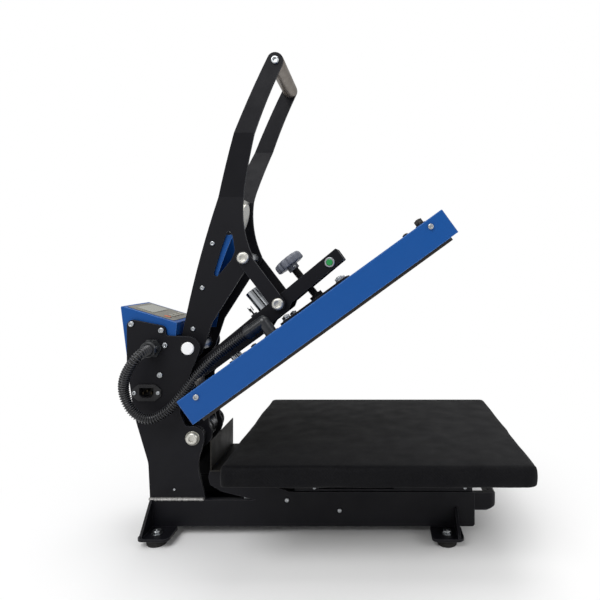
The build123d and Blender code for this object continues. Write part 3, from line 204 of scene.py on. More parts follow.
def remap(tree: Tree, value: Socket, span: Span, result: Span = (0.0, 1.0), kind: str = "LINEAR") -> Socket:
    """Carries a value from one span to another and holds it inside that."""
    links = dict(zip(("Value", "From Min", "From Max", "To Min", "To Max"), (value, *span, *result)))
    return add(tree, "ShaderNodeMapRange", {"interpolation_type": kind}, links).outputs["Result"]


def mixed(tree: Tree, share: Socket, first: object, second: object) -> Socket:
    """Mixes two colours by a share from 0 to 1."""
    return add(tree, "ShaderNodeMix", {"data_type": "RGBA"}, {0: share, 6: first, 7: second}).outputs[2]


def emptied(holder: Material | bpy.types.World) -> Tree:
    """Clears the nodes of a material or a world.

    Args:
        holder: The material or world.

    Returns:
        Its empty tree.
    """
    holder.use_nodes = True
    holder.node_tree.nodes.clear()
    return holder.node_tree


@dataclass(frozen=True)
class Finish:
    """A surface finish: its colours, its gloss and the size of its grain."""

    name: str
    slot: str
    colour: str
    second: str
    roughness: float
    metallic: float = 0.0
    specular: float = 0.5
    grain_mm: float = 0.8
    depth_mm: float = 0.03
    patch_mm: float = 70.0
    roughness_swing: float = 0.08
    edge_mm: float = 0.6
    coat: float = 0.0
    sheen: float = 0.0
    # Colour and largest share of the painted highlight along outer edges; no colour means none.
    highlight_colour: str = ""
    highlight_share: float = 0.5

    def build(self) -> Material:
        """Makes the material.

        Returns:
            The finished material.
        """
        material = bpy.data.materials.new(self.name)
        tree = emptied(material)
        place = add(tree, "ShaderNodeTexCoord").outputs["Object"]
        links = {
            "Base Color": self.painted_edge_highlight(tree, self.tint(tree, place)),
            "Roughness": self.gloss(tree, place),
            "Metallic": self.metallic,
            "IOR": IOR,
            "Specular IOR Level": self.specular,
            "Coat Weight": self.coat,
            "Coat Roughness": COAT_ROUGHNESS,
            "Sheen Weight": self.sheen,
            "Sheen Roughness": SHEEN_ROUGHNESS,
            "Normal": self.relief(tree, place),
        }
        shader = add(tree, "ShaderNodeBsdfPrincipled", links=links)
        add(tree, "ShaderNodeOutputMaterial", links={"Surface": shader.outputs["BSDF"]})
        return material

    def between(self, tree: Tree, share: Socket) -> Socket:
        """The colour between the finish's two, at a share from 0 to 1."""
        return mixed(tree, share, linear(self.colour), linear(self.second))

    def tint(self, tree: Tree, place: Socket) -> Socket:
        """Wanders between the two colours over broad patches."""
        return self.between(tree, noise(tree, place, 1.0 / (self.patch_mm * MM), 4.0))

    def painted_edge_highlight(self, tree: Tree, colour: Socket) -> Socket:
        """Paints a highlight on the outer edges, where a rounded edge would catch the light.

        Args:
            tree: The material's nodes.
            colour: The colour of the flat faces.

        Returns:
            The colour with its painted edge highlight.
        """
        if not self.highlight_colour:
            return colour
        # Painted highlight: where the rounded normal turns away from the face, the edge takes the lighter
        # colour.
        flat = add(tree, "ShaderNodeNewGeometry").outputs["Normal"]
        normals = {0: self.rounded(tree, HIGHLIGHT_SAMPLES), 1: flat}
        alike = add(tree, "ShaderNodeVectorMath", {"operation": "DOT_PRODUCT"}, normals).outputs["Value"]
        highlight_mask = remap(tree, alike, HIGHLIGHT_SPAN, (0.0, self.highlight_share))
        return mixed(tree, highlight_mask, colour, linear(self.highlight_colour))

    def gloss(self, tree: Tree, place: Socket) -> Socket:
        """Lets the roughness drift a little, as handling leaves it.

        Args:
            tree: The material's nodes.
            place: Object coordinates in metres.

        Returns:
            The roughness.
        """
        drift = noise(tree, place, GLOSS_DRIFT / (self.patch_mm * MM), 5.0)
        ends = (self.roughness - self.roughness_swing, self.roughness + self.roughness_swing)
        return remap(tree, drift, (0.3, 0.7), ends)

    def rounded(self, tree: Tree, samples: int) -> Socket:
        """The shading normal with the sharp edges rounded."""
        radius = {"Radius": self.edge_mm * MM}
        return add(tree, "ShaderNodeBevel", {"samples": samples}, radius).outputs["Normal"]

    def relief(self, tree: Tree, place: Socket) -> Socket:
        """Rounds the sharp edges and raises the fine grain.

        Args:
            tree: The material's nodes.
            place: Object coordinates in metres.

        Returns:
            The shading normal.
        """
        links = {
            "Height": self.grain(tree, place),
            "Distance": self.depth_mm * MM,
            "Strength": 1.0,
            "Normal": self.rounded(tree, BEVEL_SAMPLES),
        }
        return add(tree, "ShaderNodeBump", links=links).outputs["Normal"]

    def grain(self, tree: Tree, place: Socket) -> Socket:
        """The height of the surface's own grain, from 0 to 1."""
        return noise(tree, place, 1.0 / (self.grain_mm * MM), 3.0)


@dataclass(frozen=True)
class PowderCoat(Finish):
    """Baked powder paint, whose grains melt into a fine pebble like orange peel."""

    def grain(self, tree: Tree, place: Socket) -> Socket:
        """Pebbles of melted powder."""
        links = {"Vector": place, "Scale": 1.0 / (self.grain_mm * MM), "Smoothness": 0.8}
        return add(tree, "ShaderNodeTexVoronoi", {"feature": "SMOOTH_F1"}, links).outputs["Distance"]


@dataclass(frozen=True)
class DrawnMetal(Finish):
    """Metal with fine lines along one axis, from drawing, turning or brushing."""

    metallic: float = 1.0
    grain_mm: float = 0.5
    depth_mm: float = 0.01
    edge_mm: float = 0.3
    lines: Place = (1.0, 40.0, 1.0)

    def grain(self, tree: Tree, place: Socket) -> Socket:
        """Fine parallel lines."""
        squeezed = add(tree, "ShaderNodeMapping", links={"Vector": place, "Scale": self.lines})
        return noise(tree, squeezed.outputs["Vector"], LINE_SHARE / (self.grain_mm * MM), 6.0)


@dataclass(frozen=True)
class WovenCloth(Finish):
    """Plain-woven polyester. Its threads follow the cloth's own flat pattern."""

    thread_mm: float = 2.2

    def weave(self, tree: Tree) -> Socket:
        """Threads going over and under each other, drawn coarser than the real 0.5 mm.

        Args:
            tree: The material's nodes.

        Returns:
            The height of the threads.
        """
        flat = add(tree, "ShaderNodeUVMap", {"uv_map": "flat_pattern"}).outputs["UV"]
        axes = add(tree, "ShaderNodeSeparateXYZ", links={0: flat}).outputs
        turn = math.pi / (self.thread_mm * MM)
        turns = [calculate(tree, "MULTIPLY", axes[axis], turn) for axis in ("X", "Y")]
        waves = [calculate(tree, "SINE", run) for run in turns]
        return calculate(tree, "MULTIPLY_ADD", calculate(tree, "MULTIPLY", *waves), 0.5, 0.5)

    def grain(self, tree: Tree, place: Socket) -> Socket:
        """The weave with its uneven yarn."""
        fluff = noise(tree, place, 1.0 / (self.grain_mm * MM), 6.0)
        return calculate(tree, "MULTIPLY_ADD", fluff, 1.2, self.weave(tree))

    def tint(self, tree: Tree, place: Socket) -> Socket:
        """Lighter flecks scattered at random over the cloth."""
        fleck = noise(tree, place, FLECK_SHARE / (self.grain_mm * MM), 8.0, Roughness=0.8)
        return self.between(tree, remap(tree, fleck, (0.38, 0.66)))


@dataclass(frozen=True)
class RibbedConduit(Finish):
    """Black plastic; the crests of its ribs carry a painted highlight and its grooves a painted shade."""

    def tint(self, tree: Tree, place: Socket) -> Socket:
        """Goes from the groove's painted shade to the crest's painted highlight."""
        rib = add(tree, "ShaderNodeAttribute", {"attribute_name": "rib"}).outputs["Fac"]
        return self.between(tree, remap(tree, rib, (0.35, 1.0)))


@dataclass(frozen=True)
class ClearWindow(Finish):
    """Tinted acrylic over the display, smooth enough to mirror the room."""

    def gloss(self, tree: Tree, place: Socket) -> Socket:
        """A polished surface with faint smears."""
        smear = noise(tree, place, 60.0, 2.0, Distortion=1.5)
        return remap(tree, smear, (0.0, 1.0), (0.05, 0.16))


FINISHES: dict[str, Finish] = {
    # Matt black polyester powder coat: almost no colour, a soft even sheen, a fine pebble and a painted
    # highlight along its outer edges.
    "black_powder": PowderCoat(
        "black_powder_coat", "frame_black", "#0d0d11", "#121217", 0.5, specular=0.16, grain_mm=1.1,
        depth_mm=0.035, edge_mm=1.0, highlight_colour="#6a6a70", highlight_share=0.55,
    ),
    # Blue polyester powder coat, smoother than the black, with a painted highlight on each fold.
    "blue_powder": PowderCoat(
        "blue_powder_coat", "cover_blue", "#0f4c92", "#0d4789", 0.4, specular=0.22, grain_mm=1.6,
        depth_mm=0.025, patch_mm=140.0, edge_mm=1.4, highlight_colour="#6da0e6", highlight_share=0.8,
    ),
    # Bright zinc plate on turned steel: pale, slightly blue, faint lathe lines.
    "zinc": DrawnMetal(
        "bright_zinc_plate", "zinc", "#b9bcbe", "#a3a7ab", 0.3, grain_mm=0.4, patch_mm=25.0,
        lines=(12.0, 1.0, 12.0),
    ),
    # Passivated zinc on broad flat faces: pale, warm and softly satin.
    "pale_zinc": DrawnMetal(
        "passivated_zinc_plate", "zinc", "#d6d4cc", "#c6c5be", 0.4, metallic=0.8, patch_mm=20.0,
        edge_mm=0.4, lines=(10.0, 1.0, 10.0),
    ),
    # Nickel-plated steel: a near mirror that shows the room as soft bands.
    "nickel": DrawnMetal(
        "bright_nickel_plate", "bright_steel", "#b4b7ba", "#9a9ea3", 0.17, grain_mm=0.4, depth_mm=0.006,
        patch_mm=40.0, roughness_swing=0.04, edge_mm=0.4, lines=(1.0, 1.0, 30.0),
    ),
    # Fly-cut aluminium: pale grey with long cutter lines.
    "cut_aluminium": DrawnMetal(
        "fly_cut_aluminium", "platen_aluminium", "#8b8a87", "#777672", 0.36, grain_mm=0.8, depth_mm=0.02,
        edge_mm=0.6, lines=(1.0, 35.0, 35.0),
    ),
    # Cast aluminium platen under a baked fluoropolymer coat: dark, warm and dull.
    "platen_coat": Finish(
        "fluoropolymer_coated_casting", "cast_platen", "#262221", "#2f2a28", 0.44, specular=0.3,
        grain_mm=1.4, patch_mm=30.0, edge_mm=0.8,
    ),
    # Black oxide on the cut thread of the pressure screw: near black with a dry metallic glint.
    "black_oxide": DrawnMetal(
        "black_oxide_steel", "black_oxide", "#1d1d1f", "#252527", 0.36, metallic=0.7, patch_mm=12.0,
        lines=(8.0, 8.0, 1.0),
    ),
    # Anodised aluminium tube, warm grey and satin.
    "anodised_grip": DrawnMetal(
        "satin_anodised_tube", "grip_rubber", "#766d63", "#80776c", 0.42, metallic=0.55, depth_mm=0.003,
        patch_mm=60.0, edge_mm=0.8, lines=(1.0, 0.12, 1.0),
    ),
    # Glass-filled nylon: matt black with a slight moulded stipple.
    "black_nylon": Finish(
        "moulded_black_nylon", "black_plastic", "#18181a", "#1f1f22", 0.5, specular=0.4, grain_mm=0.7,
        edge_mm=0.5,
    ),
    # Polyamide conduit: black and smooth from the die; its near-black first colour is also painted shade in
    # the grooves, and its paler second colour a painted line of light on every rib crest.
    "conduit": RibbedConduit(
        "extruded_polyamide_conduit", "hose_black", "#050506", "#3a3b3f", 0.3, grain_mm=1.4,
        depth_mm=0.01, patch_mm=30.0, edge_mm=0.2,
    ),
    # Phenolic hand knob: dark slate grey with a greasy sheen.
    "bakelite": Finish(
        "moulded_phenolic", "knob_grey", "#5b5f68", "#6a6d76", 0.38, specular=0.4, grain_mm=1.0,
        patch_mm=20.0, edge_mm=0.8,
    ),
    # White nylon cap, slightly waxy.
    "white_nylon": Finish(
        "moulded_white_nylon", "white_plastic", "#fefefe", "#fbfbfa", 0.42, grain_mm=1.0, depth_mm=0.01,
        patch_mm=15.0,
    ),
    # Clear green polycarbonate lens of the push button.
    "green_lens": Finish(
        "green_polycarbonate", "green_plastic", "#04903c", "#0aa049", 0.16, grain_mm=1.5, depth_mm=0.01,
        patch_mm=6.0, roughness_swing=0.04, coat=0.5,
    ),
    # Screen-printed polyester overlay, warm stone grey and satin.
    "overlay": Finish(
        "satin_polyester_overlay", "panel_grey", "#77756b", "#6f6c62", 0.36, specular=0.3, grain_mm=0.9,
        depth_mm=0.008, patch_mm=50.0, edge_mm=0.4,
    ),
    # Raised keys embossed in the same overlay, a little paler where the print is thin.
    "overlay_key": Finish(
        "embossed_overlay_key", "panel_grey", "#97958a", "#8e8c81", 0.34, specular=0.3, grain_mm=0.9,
        depth_mm=0.008, patch_mm=12.0, edge_mm=0.4,
    ),
    # The start key, printed in a dull orange on the same overlay.
    "orange_key": Finish(
        "printed_orange_key", "panel_grey", "#b9623f", "#ad5836", 0.36, specular=0.35, grain_mm=0.9,
        depth_mm=0.008, patch_mm=12.0, edge_mm=0.4,
    ),
    # Clear acrylic over a pale liquid-crystal display: milky green-grey under a mirror skin.
    "window": ClearWindow(
        "acrylic_over_display", "display_glass", "#8d8e82", "#848679", 0.1, depth_mm=0.004, edge_mm=0.3,
        coat=0.3,
    ),
    # Moulded natural-rubber foot: dull black, dusty in patches.
    "rubber": Finish(
        "moulded_rubber", "foot_rubber", "#161616", "#232221", 0.72, specular=0.3, grain_mm=1.2,
        depth_mm=0.05, patch_mm=18.0, edge_mm=0.8,
    ),
    # Woven, heat-set polyester cloth over the pad, black with grey flecks.
    "cloth": WovenCloth(
        "woven_polyester", "pad_fabric", "#030305", "#121215", 0.66, specular=0.1, grain_mm=1.3,
        depth_mm=0.35, patch_mm=90.0, edge_mm=0.4, sheen=0.045,
    ),
    # Silicone sponge, brick red with a skin.
    "sponge": Finish(
        "silicone_sponge", "pad_foam", "#b0522f", "#a2492a", 0.66, grain_mm=1.6, depth_mm=0.12,
    ),
    # Needled glass-fibre mat, pale and hairy.
    "mat": Finish(
        "needled_glass_mat", "mat_fibre", "#d6cfbd", "#c4bca6", 0.92, specular=0.15, grain_mm=2.2,
        depth_mm=0.6, sheen=0.2,
    ),
    # Warm grey chromate paint on the rear guard, with a painted highlight along its outer edges.
    "guard_paint": PowderCoat(
        "warm_grey_paint", "guard_grey", "#1d1b19", "#181715", 0.6, specular=0.16, grain_mm=1.3,
        highlight_colour="#8c8880", highlight_share=0.4,
    ),
    # Turned brass with fine tool lines.
    "brass": DrawnMetal(
        "turned_brass", "brass", "#b98f4e", "#a67f43", 0.28, grain_mm=0.3, depth_mm=0.008,
        lines=(20.0, 20.0, 1.0),
    ),
    # Nickel silver blades of the inlet, dull, their colour darkened as painted shade inside the socket's
    # moulding.
    "blade": Finish(
        "contact_metal_painted_shade", "brass", "#3c3528", "#332d22", 0.45, metallic=0.9, grain_mm=0.6,
        depth_mm=0.01, patch_mm=8.0, edge_mm=0.3,
    ),
    # Glossy nylon fittings at both ends of the conduit: dark grey with a broad soft highlight.
    "fitting": Finish(
        "glossy_black_nylon", "black_plastic", "#1d1f21", "#232528", 0.28, specular=0.6, grain_mm=0.9,
        depth_mm=0.02, edge_mm=0.5,
    ),
    # Plain steel nuts left dark from their heat treatment.
    "dark_steel": DrawnMetal(
        "heat_treated_steel", "zinc", "#4c4a48", "#3b3a39", 0.36, metallic=0.9, patch_mm=10.0,
        edge_mm=0.4, lines=(6.0, 6.0, 6.0),
    ),
    # Cold-rolled spring wire, oiled and dark.
    "spring_wire": DrawnMetal(
        "oiled_spring_wire", "bright_steel", "#6a6b6c", "#57585a", 0.32, edge_mm=0.2,
        lines=(8.0, 8.0, 8.0),
    ),
    # Weld bead of pale grey metal with darker patches at random; its paleness is a painted highlight for the
    # light the glossy bead catches along the joint.
    "weld": Finish(
        "weld_bead_painted_highlight", "bright_steel", "#a3a2a0", "#6f6e6d", 0.42, metallic=0.85, grain_mm=0.9,
        depth_mm=0.05, patch_mm=5.0, edge_mm=0.3,
    ),
}


@cache
def material(finish: str) -> Material:
    """The named finish as a material, made at its first use."""
    return FINISHES[finish].build()


def dress(piece: Object, finish: str) -> None:
    """Lays one finish over a whole piece.

    Args:
        piece: The object.
        finish: A key of FINISHES.
    """
    for slot in piece.material_slots:
        slot.material = material(finish)
    if not piece.material_slots:
        piece.data.materials.append(material(finish))


def new_piece(name: str, data: bpy.types.ID) -> Object:
    """Puts a mesh, a curve, a lamp or a camera in the scene as an object at the origin.

    Args:
        name: The object's name.
        data: What it shows.

    Returns:
        The object.
    """
    piece = bpy.data.objects.new(name, data)
    bpy.context.scene.collection.objects.link(piece)
    return piece


def from_bmesh(name: str, work: bmesh.types.BMesh, smooth_degrees: float = 35.0) -> Mesh:
    """Turns working geometry into a smooth-shaded mesh with crisp corners.

    Args:
        name: The mesh's name.
        work: The geometry, which is freed.
        smooth_degrees: Edges sharper than this stay crisp.

    Returns:
        The mesh.
    """
    bmesh.ops.recalc_face_normals(work, faces=work.faces)
    mesh = bpy.data.meshes.new(name)
    work.to_mesh(mesh)
    work.free()
    mesh.shade_smooth()
    mesh.set_sharp_from_angle(angle=math.radians(smooth_degrees))
    return mesh


@dataclass(frozen=True)
class Ring:
    """One ring of a turned shape, in millimetres. A hexagon is measured across its corners."""

    radius: float
    height: float
    hexagon: bool = False

    def reach(self, angle: float) -> float:
        """Distance of the ring from its axis.

        Args:
            angle: Radians round the axis.

        Returns:
            Millimetres.
        """
        if not self.hexagon:
            return self.radius
        third = math.pi / 3.0
        return self.radius * math.cos(third / 2.0) / math.cos(angle % third - third / 2.0)


def ring_point(reach: float, angle: float, height: float) -> Place:
    """A point at a reach and a height in millimetres, as a place in metres."""
    metres = reach * MM
    return (metres * math.cos(angle), metres * math.sin(angle), height * MM)


def lofted(name: str, loops: Sequence[Sequence[Place]], smooth_degrees: float = 35.0) -> Mesh:
    """Skins loops of points and closes both ends.

    Args:
        name: The mesh's name.
        loops: Loops of equal length, from one end to the other, in metres.
        smooth_degrees: Edges sharper than this stay crisp.

    Returns:
        The mesh.
    """
    work = bmesh.new()
    rows = [[work.verts.new(point) for point in loop] for loop in loops]
    for low, high in zip(rows, rows[1:]):
        for step in range(len(low)):
            after = (step + 1) % len(low)
            work.faces.new((low[step], low[after], high[after], high[step]))
    work.faces.new(rows[0][::-1])
    work.faces.new(rows[-1])
    return from_bmesh(name, work, smooth_degrees)


def turned(name: str, rings: Sequence[Ring], segments: int = 24) -> Mesh:
    """Builds a closed turned shape that stands on the origin along Z, in metres."""
    turns = [FULL_TURN * step / segments for step in range(segments)]
    return lofted(name, [[ring_point(r.reach(turn), turn, r.height) for turn in turns] for r in rings])


@dataclass(frozen=True)
class Seat:
    """Where a fastener sits: its foot, the way it faces and its size in metres."""

    foot: Vector
    facing: Vector
    radius: float = 0.0
    height: float = 0.0


def islands(node: Object) -> list[list[Vector]]:
    """Splits a piece of the frame into its separate solids.

    Args:
        node: A CAD piece.

    Returns:
        The corner points of each solid.
    """
    work = bmesh.new()
    work.from_mesh(node.data)
    bmesh.ops.remove_doubles(work, verts=work.verts, dist=SAME_PLACE)
    work.verts.ensure_lookup_table()
    seen: set[int] = set()
    groups = []
    for start in work.verts:
        if start.index in seen:
            continue
        stack, group = [start], []
        seen.add(start.index)
        while stack:
            vert = stack.pop()
            group.append(vert.co.copy())
            for edge in vert.link_edges:
                other = edge.other_vert(vert)
                if other.index not in seen:
                    seen.add(other.index)
                    stack.append(other)
        groups.append(group)
    work.free()
    return groups


def seats(node: Object, facing: Vector | None = None, base: float | None = None) -> list[Seat]:
    """Finds where each fastener of a CAD piece sits.

    Args:
        node: A CAD piece made of one solid for each fastener.
        facing: The way they all face, or None where each faces out along Y.
        base: Height of the seating face along that way, where the solid starts below it.

    Returns:
        One seat for each solid.
    """
    found = []
    for points in islands(node):
        middle = sum(points, Vector()) / len(points)
        way = facing or Vector((0.0, 1.0 if middle.y > 0 else -1.0, 0.0))
        heights = [point.dot(way) for point in points]
        low, high = min(heights), max(heights)
        centre = (Vector([min(p[i] for p in points) for i in range(3)])
                  + Vector([max(p[i] for p in points) for i in range(3)])) / 2.0
        foot = centre + way * ((low if base is None else base) - centre.dot(way))
        radius = max(((p - centre) - way * (p - centre).dot(way)).length for p in points)
        found.append(Seat(foot, way, radius, high - low))
    return found


def interface(tree: Tree, sockets: Sequence[tuple[str, str, object]]) -> bpy.types.bpy_prop_collection:
    """Gives a geometry tree its named inputs and its one output.

    Args:
        tree: The node tree.
        sockets: Name, kind and default of each input.

    Returns:
        The inputs, as sockets that feed the tree.
    """
    for name, kind, default in sockets:
        socket = tree.interface.new_socket(name=name, in_out="INPUT", socket_type="NodeSocket" + kind)
        if default is not None:
            socket.default_value = default
    tree.interface.new_socket(name="Geometry", in_out="OUTPUT", socket_type="NodeSocketGeometry")
    return add(tree, "NodeGroupInput").outputs


def finish_tree(tree: Tree, geometry: Socket, finish: Socket) -> None:
    """Ends a geometry tree by laying its finish over all of it."""
    painted = add(tree, "GeometryNodeSetMaterial", links={"Geometry": geometry, "Material": finish})
    add(tree, "NodeGroupOutput", links={"Geometry": painted.outputs[0]})


def evaluated(piece: Object) -> Mesh:
    """The object's shape as a new mesh, after its modifiers."""
    bpy.context.view_layer.update()
    return bpy.data.meshes.new_from_object(piece.evaluated_get(bpy.context.evaluated_depsgraph_get()))


def grown(name: str, mesh: Mesh, tree: Tree, values: dict[str, object]) -> Object:
    """Runs a geometry tree on a mesh and takes its result as a plain piece.

    Args:
        name: The piece's name.
        mesh: What the tree starts from.
        tree: The node tree.
        values: Input name to value.

    Returns:
        The piece.
    """
    carrier = new_piece(name + "_carrier", mesh)
    modifier = carrier.modifiers.new("build", "NODES")
    modifier.node_group = tree
    for item in tree.interface.items_tree:
        if item.item_type == "SOCKET" and item.in_out == "INPUT" and item.name in values:
            modifier[item.identifier] = values[item.name]
    piece = new_piece(name, evaluated(carrier))
    bpy.data.objects.remove(carrier)
    return piece


@cache
def scatter_tree() -> Tree:
    """Tree that stands a template on each point, facing as the point says.

    Returns:
        The node tree.
    """
    tree = bpy.data.node_groups.new("stand_on_points", "GeometryNodeTree")
    inputs = [
        ("Geometry", "Geometry", None),
        ("Template", "Object", None),
        ("Finish", "Material", None),
        ("Spin", "Float", 1.0),
        ("Size Swing", "Float", 0.0),
        ("Seed", "Int", 7),
    ]
    given = interface(tree, inputs)
    template = add(tree, "GeometryNodeObjectInfo", links={"Object": given["Template"]})
    named = "GeometryNodeInputNamedAttribute"
    facing = add(tree, named, {"data_type": "FLOAT_VECTOR"}, {"Name": "facing"}).outputs["Attribute"]
    size = add(tree, named, {"data_type": "FLOAT"}, {"Name": "size"}).outputs["Attribute"]
    aligned = add(tree, "FunctionNodeAlignRotationToVector", {"axis": "Z"}, {"Vector": facing}).outputs[0]
    chance = add(tree, "FunctionNodeRandomValue", {"data_type": "FLOAT"}, {"Seed": given["Seed"]}).outputs[1]
    turn = calculate(tree, "MULTIPLY", chance, given["Spin"])
    about = add(tree, "ShaderNodeCombineXYZ", links={"Z": turn}).outputs[0]
    spun = add(tree, "FunctionNodeRotateRotation", {"rotation_space": "LOCAL"}, {0: aligned, 1: about})
    links = {
        "Points": given["Geometry"],
        "Instance": template.outputs["Geometry"],
        "Rotation": spun.outputs[0],
        "Scale": calculate(tree, "MULTIPLY_ADD", chance, given["Size Swing"], size),
    }
    placed = add(tree, "GeometryNodeInstanceOnPoints", links=links)
    real = add(tree, "GeometryNodeRealizeInstances", links={"Geometry": placed.outputs[0]})
    finish_tree(tree, real.outputs[0], given["Finish"])
    return tree


@cache
def ribbed_tube_tree() -> Tree:
    """Tree that runs a ribbed tube along a line of points.

    Returns:
        The node tree.
    """
    tree = bpy.data.node_groups.new("ribbed_tube", "GeometryNodeTree")
    inputs = [
        ("Geometry", "Geometry", None),
        ("Root Radius", "Float", 0.007),
        ("Rib Height", "Float", 0.0015),
        ("Rib Pitch", "Float", 0.003),
        ("Step", "Float", 0.0005),
        ("Segments", "Int", 28),
        ("Finish", "Material", None),
    ]
    given = interface(tree, inputs)
    line = add(tree, "GeometryNodeMeshToCurve", links={"Mesh": given["Geometry"]})
    spaced = {"Curve": line.outputs[0], "Length": given["Step"]}
    even = add(tree, "GeometryNodeResampleCurve", {"mode": "LENGTH"}, spaced)
    measure = add(tree, "GeometryNodeSplineParameter")
    kept = add(tree, "GeometryNodeCaptureAttribute", {"domain": "POINT"})
    kept.capture_items.new("FLOAT", "Run")
    tree.links.new(even.outputs[0], kept.inputs["Geometry"])
    tree.links.new(measure.outputs["Length"], kept.inputs["Run"])
    circle = {"Resolution": given["Segments"], "Radius": given["Root Radius"]}
    ring = add(tree, "GeometryNodeCurvePrimitiveCircle", {"mode": "RADIUS"}, circle)
    swept = {"Curve": kept.outputs["Geometry"], "Profile Curve": ring.outputs["Curve"], "Fill Caps": True}
    tube = add(tree, "GeometryNodeCurveToMesh", links=swept)
    ratio = calculate(tree, "DIVIDE", kept.outputs["Run"], given["Rib Pitch"])
    wave = calculate(tree, "COSINE", calculate(tree, "MULTIPLY", ratio, FULL_TURN))
    crest = calculate(tree, "MULTIPLY_ADD", wave, *RIB_WAVE, clamp=True)
    rise = calculate(tree, "MULTIPLY", crest, given["Rib Height"])
    outward = add(tree, "GeometryNodeInputNormal").outputs[0]
    push = add(tree, "ShaderNodeVectorMath", {"operation": "SCALE"}, {0: outward, "Scale": rise}).outputs[0]
    ribs = add(tree, "GeometryNodeSetPosition", links={"Geometry": tube.outputs[0], "Offset": push})
    mark = {"Geometry": ribs.outputs[0], "Name": "rib", "Value": crest}
    kind = {"data_type": "FLOAT", "domain": "POINT"}
    marked = add(tree, "GeometryNodeStoreNamedAttribute", kind, mark)
    real = add(tree, "GeometryNodeRealizeInstances", links={"Geometry": marked.outputs[0]})
    smooth = add(tree, "GeometryNodeSetShadeSmooth", links={0: real.outputs[0], "Shade Smooth": True})
    finish_tree(tree, smooth.outputs[0], given["Finish"])
    return tree


@dataclass
class Workshop:
    """Holds the frame's pieces, and makes new ones for the sub-assemblies."""

    nodes: dict[str, Object]

    def finish_piece(self, piece: Object, body: Body, finish: str, replaces: Sequence[str] = ()) -> Object:
        """Puts a new piece on its body, unless it bends between two, and hides the CAD pieces it stands for.

        Args:
            piece: The object, in place.
            body: The body it rides on.
            finish: A key of FINISHES.
            replaces: The CAD pieces it stands for.

        Returns:
            The piece.
        """
        if not piece.data.materials:
            dress(piece, finish)
        if replaces:
            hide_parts(*replaces)
        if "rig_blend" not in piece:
            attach(piece, body.value)
        LOG.info("%s: %d faces", piece.name, len(piece.data.polygons))
        return piece

    def stand(
        self,
        name: str,
        template: Mesh,
        places: Sequence[Seat],
        finish: str,
        body: Body,
        replaces: Sequence[str] = (),
        spin: float = FULL_TURN,
        sizes: Sequence[float] | None = None,
        size_swing: float = 0.0,
    ) -> Object:
        """Stands a template on each seat and joins the lot into one piece.

        Args:
            name: The piece's name.
            template: The shape, standing on the origin along Z, in metres.
            places: Where it stands.
            finish: A key of FINISHES.
            body: The body it rides on.
            replaces: The CAD pieces it stands for.
            spin: Largest random turn about its own axis, in radians.
            sizes: Scale at each seat, or None for 1.
            size_swing: Largest random growth.

        Returns:
            The piece.
        """
        points = bpy.data.meshes.new(name + "_points")
        points.from_pydata([tuple(seat.foot) for seat in places], [], [])
        points.attributes.new("facing", "FLOAT_VECTOR", "POINT")
        points.attributes.new("size", "FLOAT", "POINT")
        for index, seat in enumerate(places):
            points.attributes["facing"].data[index].vector = seat.facing
            points.attributes["size"].data[index].value = sizes[index] if sizes else 1.0
        model = new_piece(name + "_template", template)
        values = {"Template": model, "Finish": material(finish), "Spin": spin, "Size Swing": size_swing}
        piece = grown(name, points, scatter_tree(), values)
        bpy.data.objects.remove(model)
        return self.finish_piece(piece, body, finish, replaces)

    def tube(self, name: str, line: Sequence[Vector], finish: str, **sizes: float) -> Object:
        """Runs a ribbed tube along a line.

        Args:
            name: The piece's name.
            line: Points along the middle of the tube, in metres.
            finish: A key of FINISHES.
            sizes: Inputs of the tube's tree, with underscores for spaces.

        Returns:
            The piece, not yet on a body.
        """
        mesh = bpy.data.meshes.new(name + "_line")
        mesh.from_pydata([tuple(p) for p in line], [(i, i + 1) for i in range(len(line) - 1)], [])
        values = {key.replace("_", " "): value for key, value in sizes.items()}
        return grown(name, mesh, ribbed_tube_tree(), {**values, "Finish": material(finish)})


@dataclass
class SubAssembly:
    """A group of pieces that is built in the shared workshop."""

    shop: Workshop


def socket_button(radius: float, height: float) -> list[Ring]:
    """Rings of a domed screw head with a hexagon socket.

    Args:
        radius: Radius of the head in millimetres.
        height: Height of the head in millimetres.

    Returns:
        The rings from the seat to the bottom of the socket.
    """
    key = radius * 0.5
    return [
        Ring(radius * 0.96, -0.1 * radius),
        Ring(radius, height * 0.02),
        Ring(radius, height * 0.42),
        Ring(radius * 0.96, height * 0.62),
        Ring(radius * 0.88, height * 0.84),
        Ring(radius * 0.78, height * 0.96),
        Ring(radius * 0.7, height),
        Ring(key * 1.1, height * 0.99),
        Ring(key, height * 0.92, True),
        Ring(key, height * 0.3, True),
        Ring(key * 0.3, height * 0.2, True),
    ]


def nut_and_stud(radius: float, nut: float, stud: float, reach: float, pitch: float = 1.25) -> list[Ring]:
    """Rings of a washer, a chamfered nut and the threaded end that stands out of it.

    Args:
        radius: Corner radius of the nut in millimetres.
        nut: Height of the nut in millimetres.
        stud: Radius of the thread in millimetres.
        reach: Height of the thread's end in millimetres.
        pitch: Thread pitch in millimetres.

    Returns:
        The rings from the seat to the top of the stud.
    """
    flat = radius * math.cos(math.pi / 6.0)
    rings = [
        Ring(radius * 1.14, 0.0),
        Ring(radius * 1.16, 0.25),
        Ring(radius * 1.16, 1.05),
        Ring(radius * 1.12, 1.25),
        Ring(flat * 0.99, 1.26),
        Ring(radius, 1.9, True),
        Ring(radius, nut - 0.8, True),
        Ring(flat * 0.96, nut),
        Ring(stud * 1.05, nut + 0.01),
    ]
    height = nut + 0.02
    while height + pitch < reach - 0.8:
        rings += [
            Ring(stud * 0.88, height + 0.1 * pitch),
            Ring(stud, height + 0.45 * pitch),
            Ring(stud, height + 0.6 * pitch),
            Ring(stud * 0.88, height + 0.95 * pitch),
        ]
        height += pitch
    rings += [Ring(stud * 0.9, reach - 0.6), Ring(stud * 0.72, reach)]
    return rings


def length_of(points: Sequence[Vector]) -> float:
    """Length of a line of points in metres."""
    return sum((b - a).length for a, b in zip(points, points[1:]))


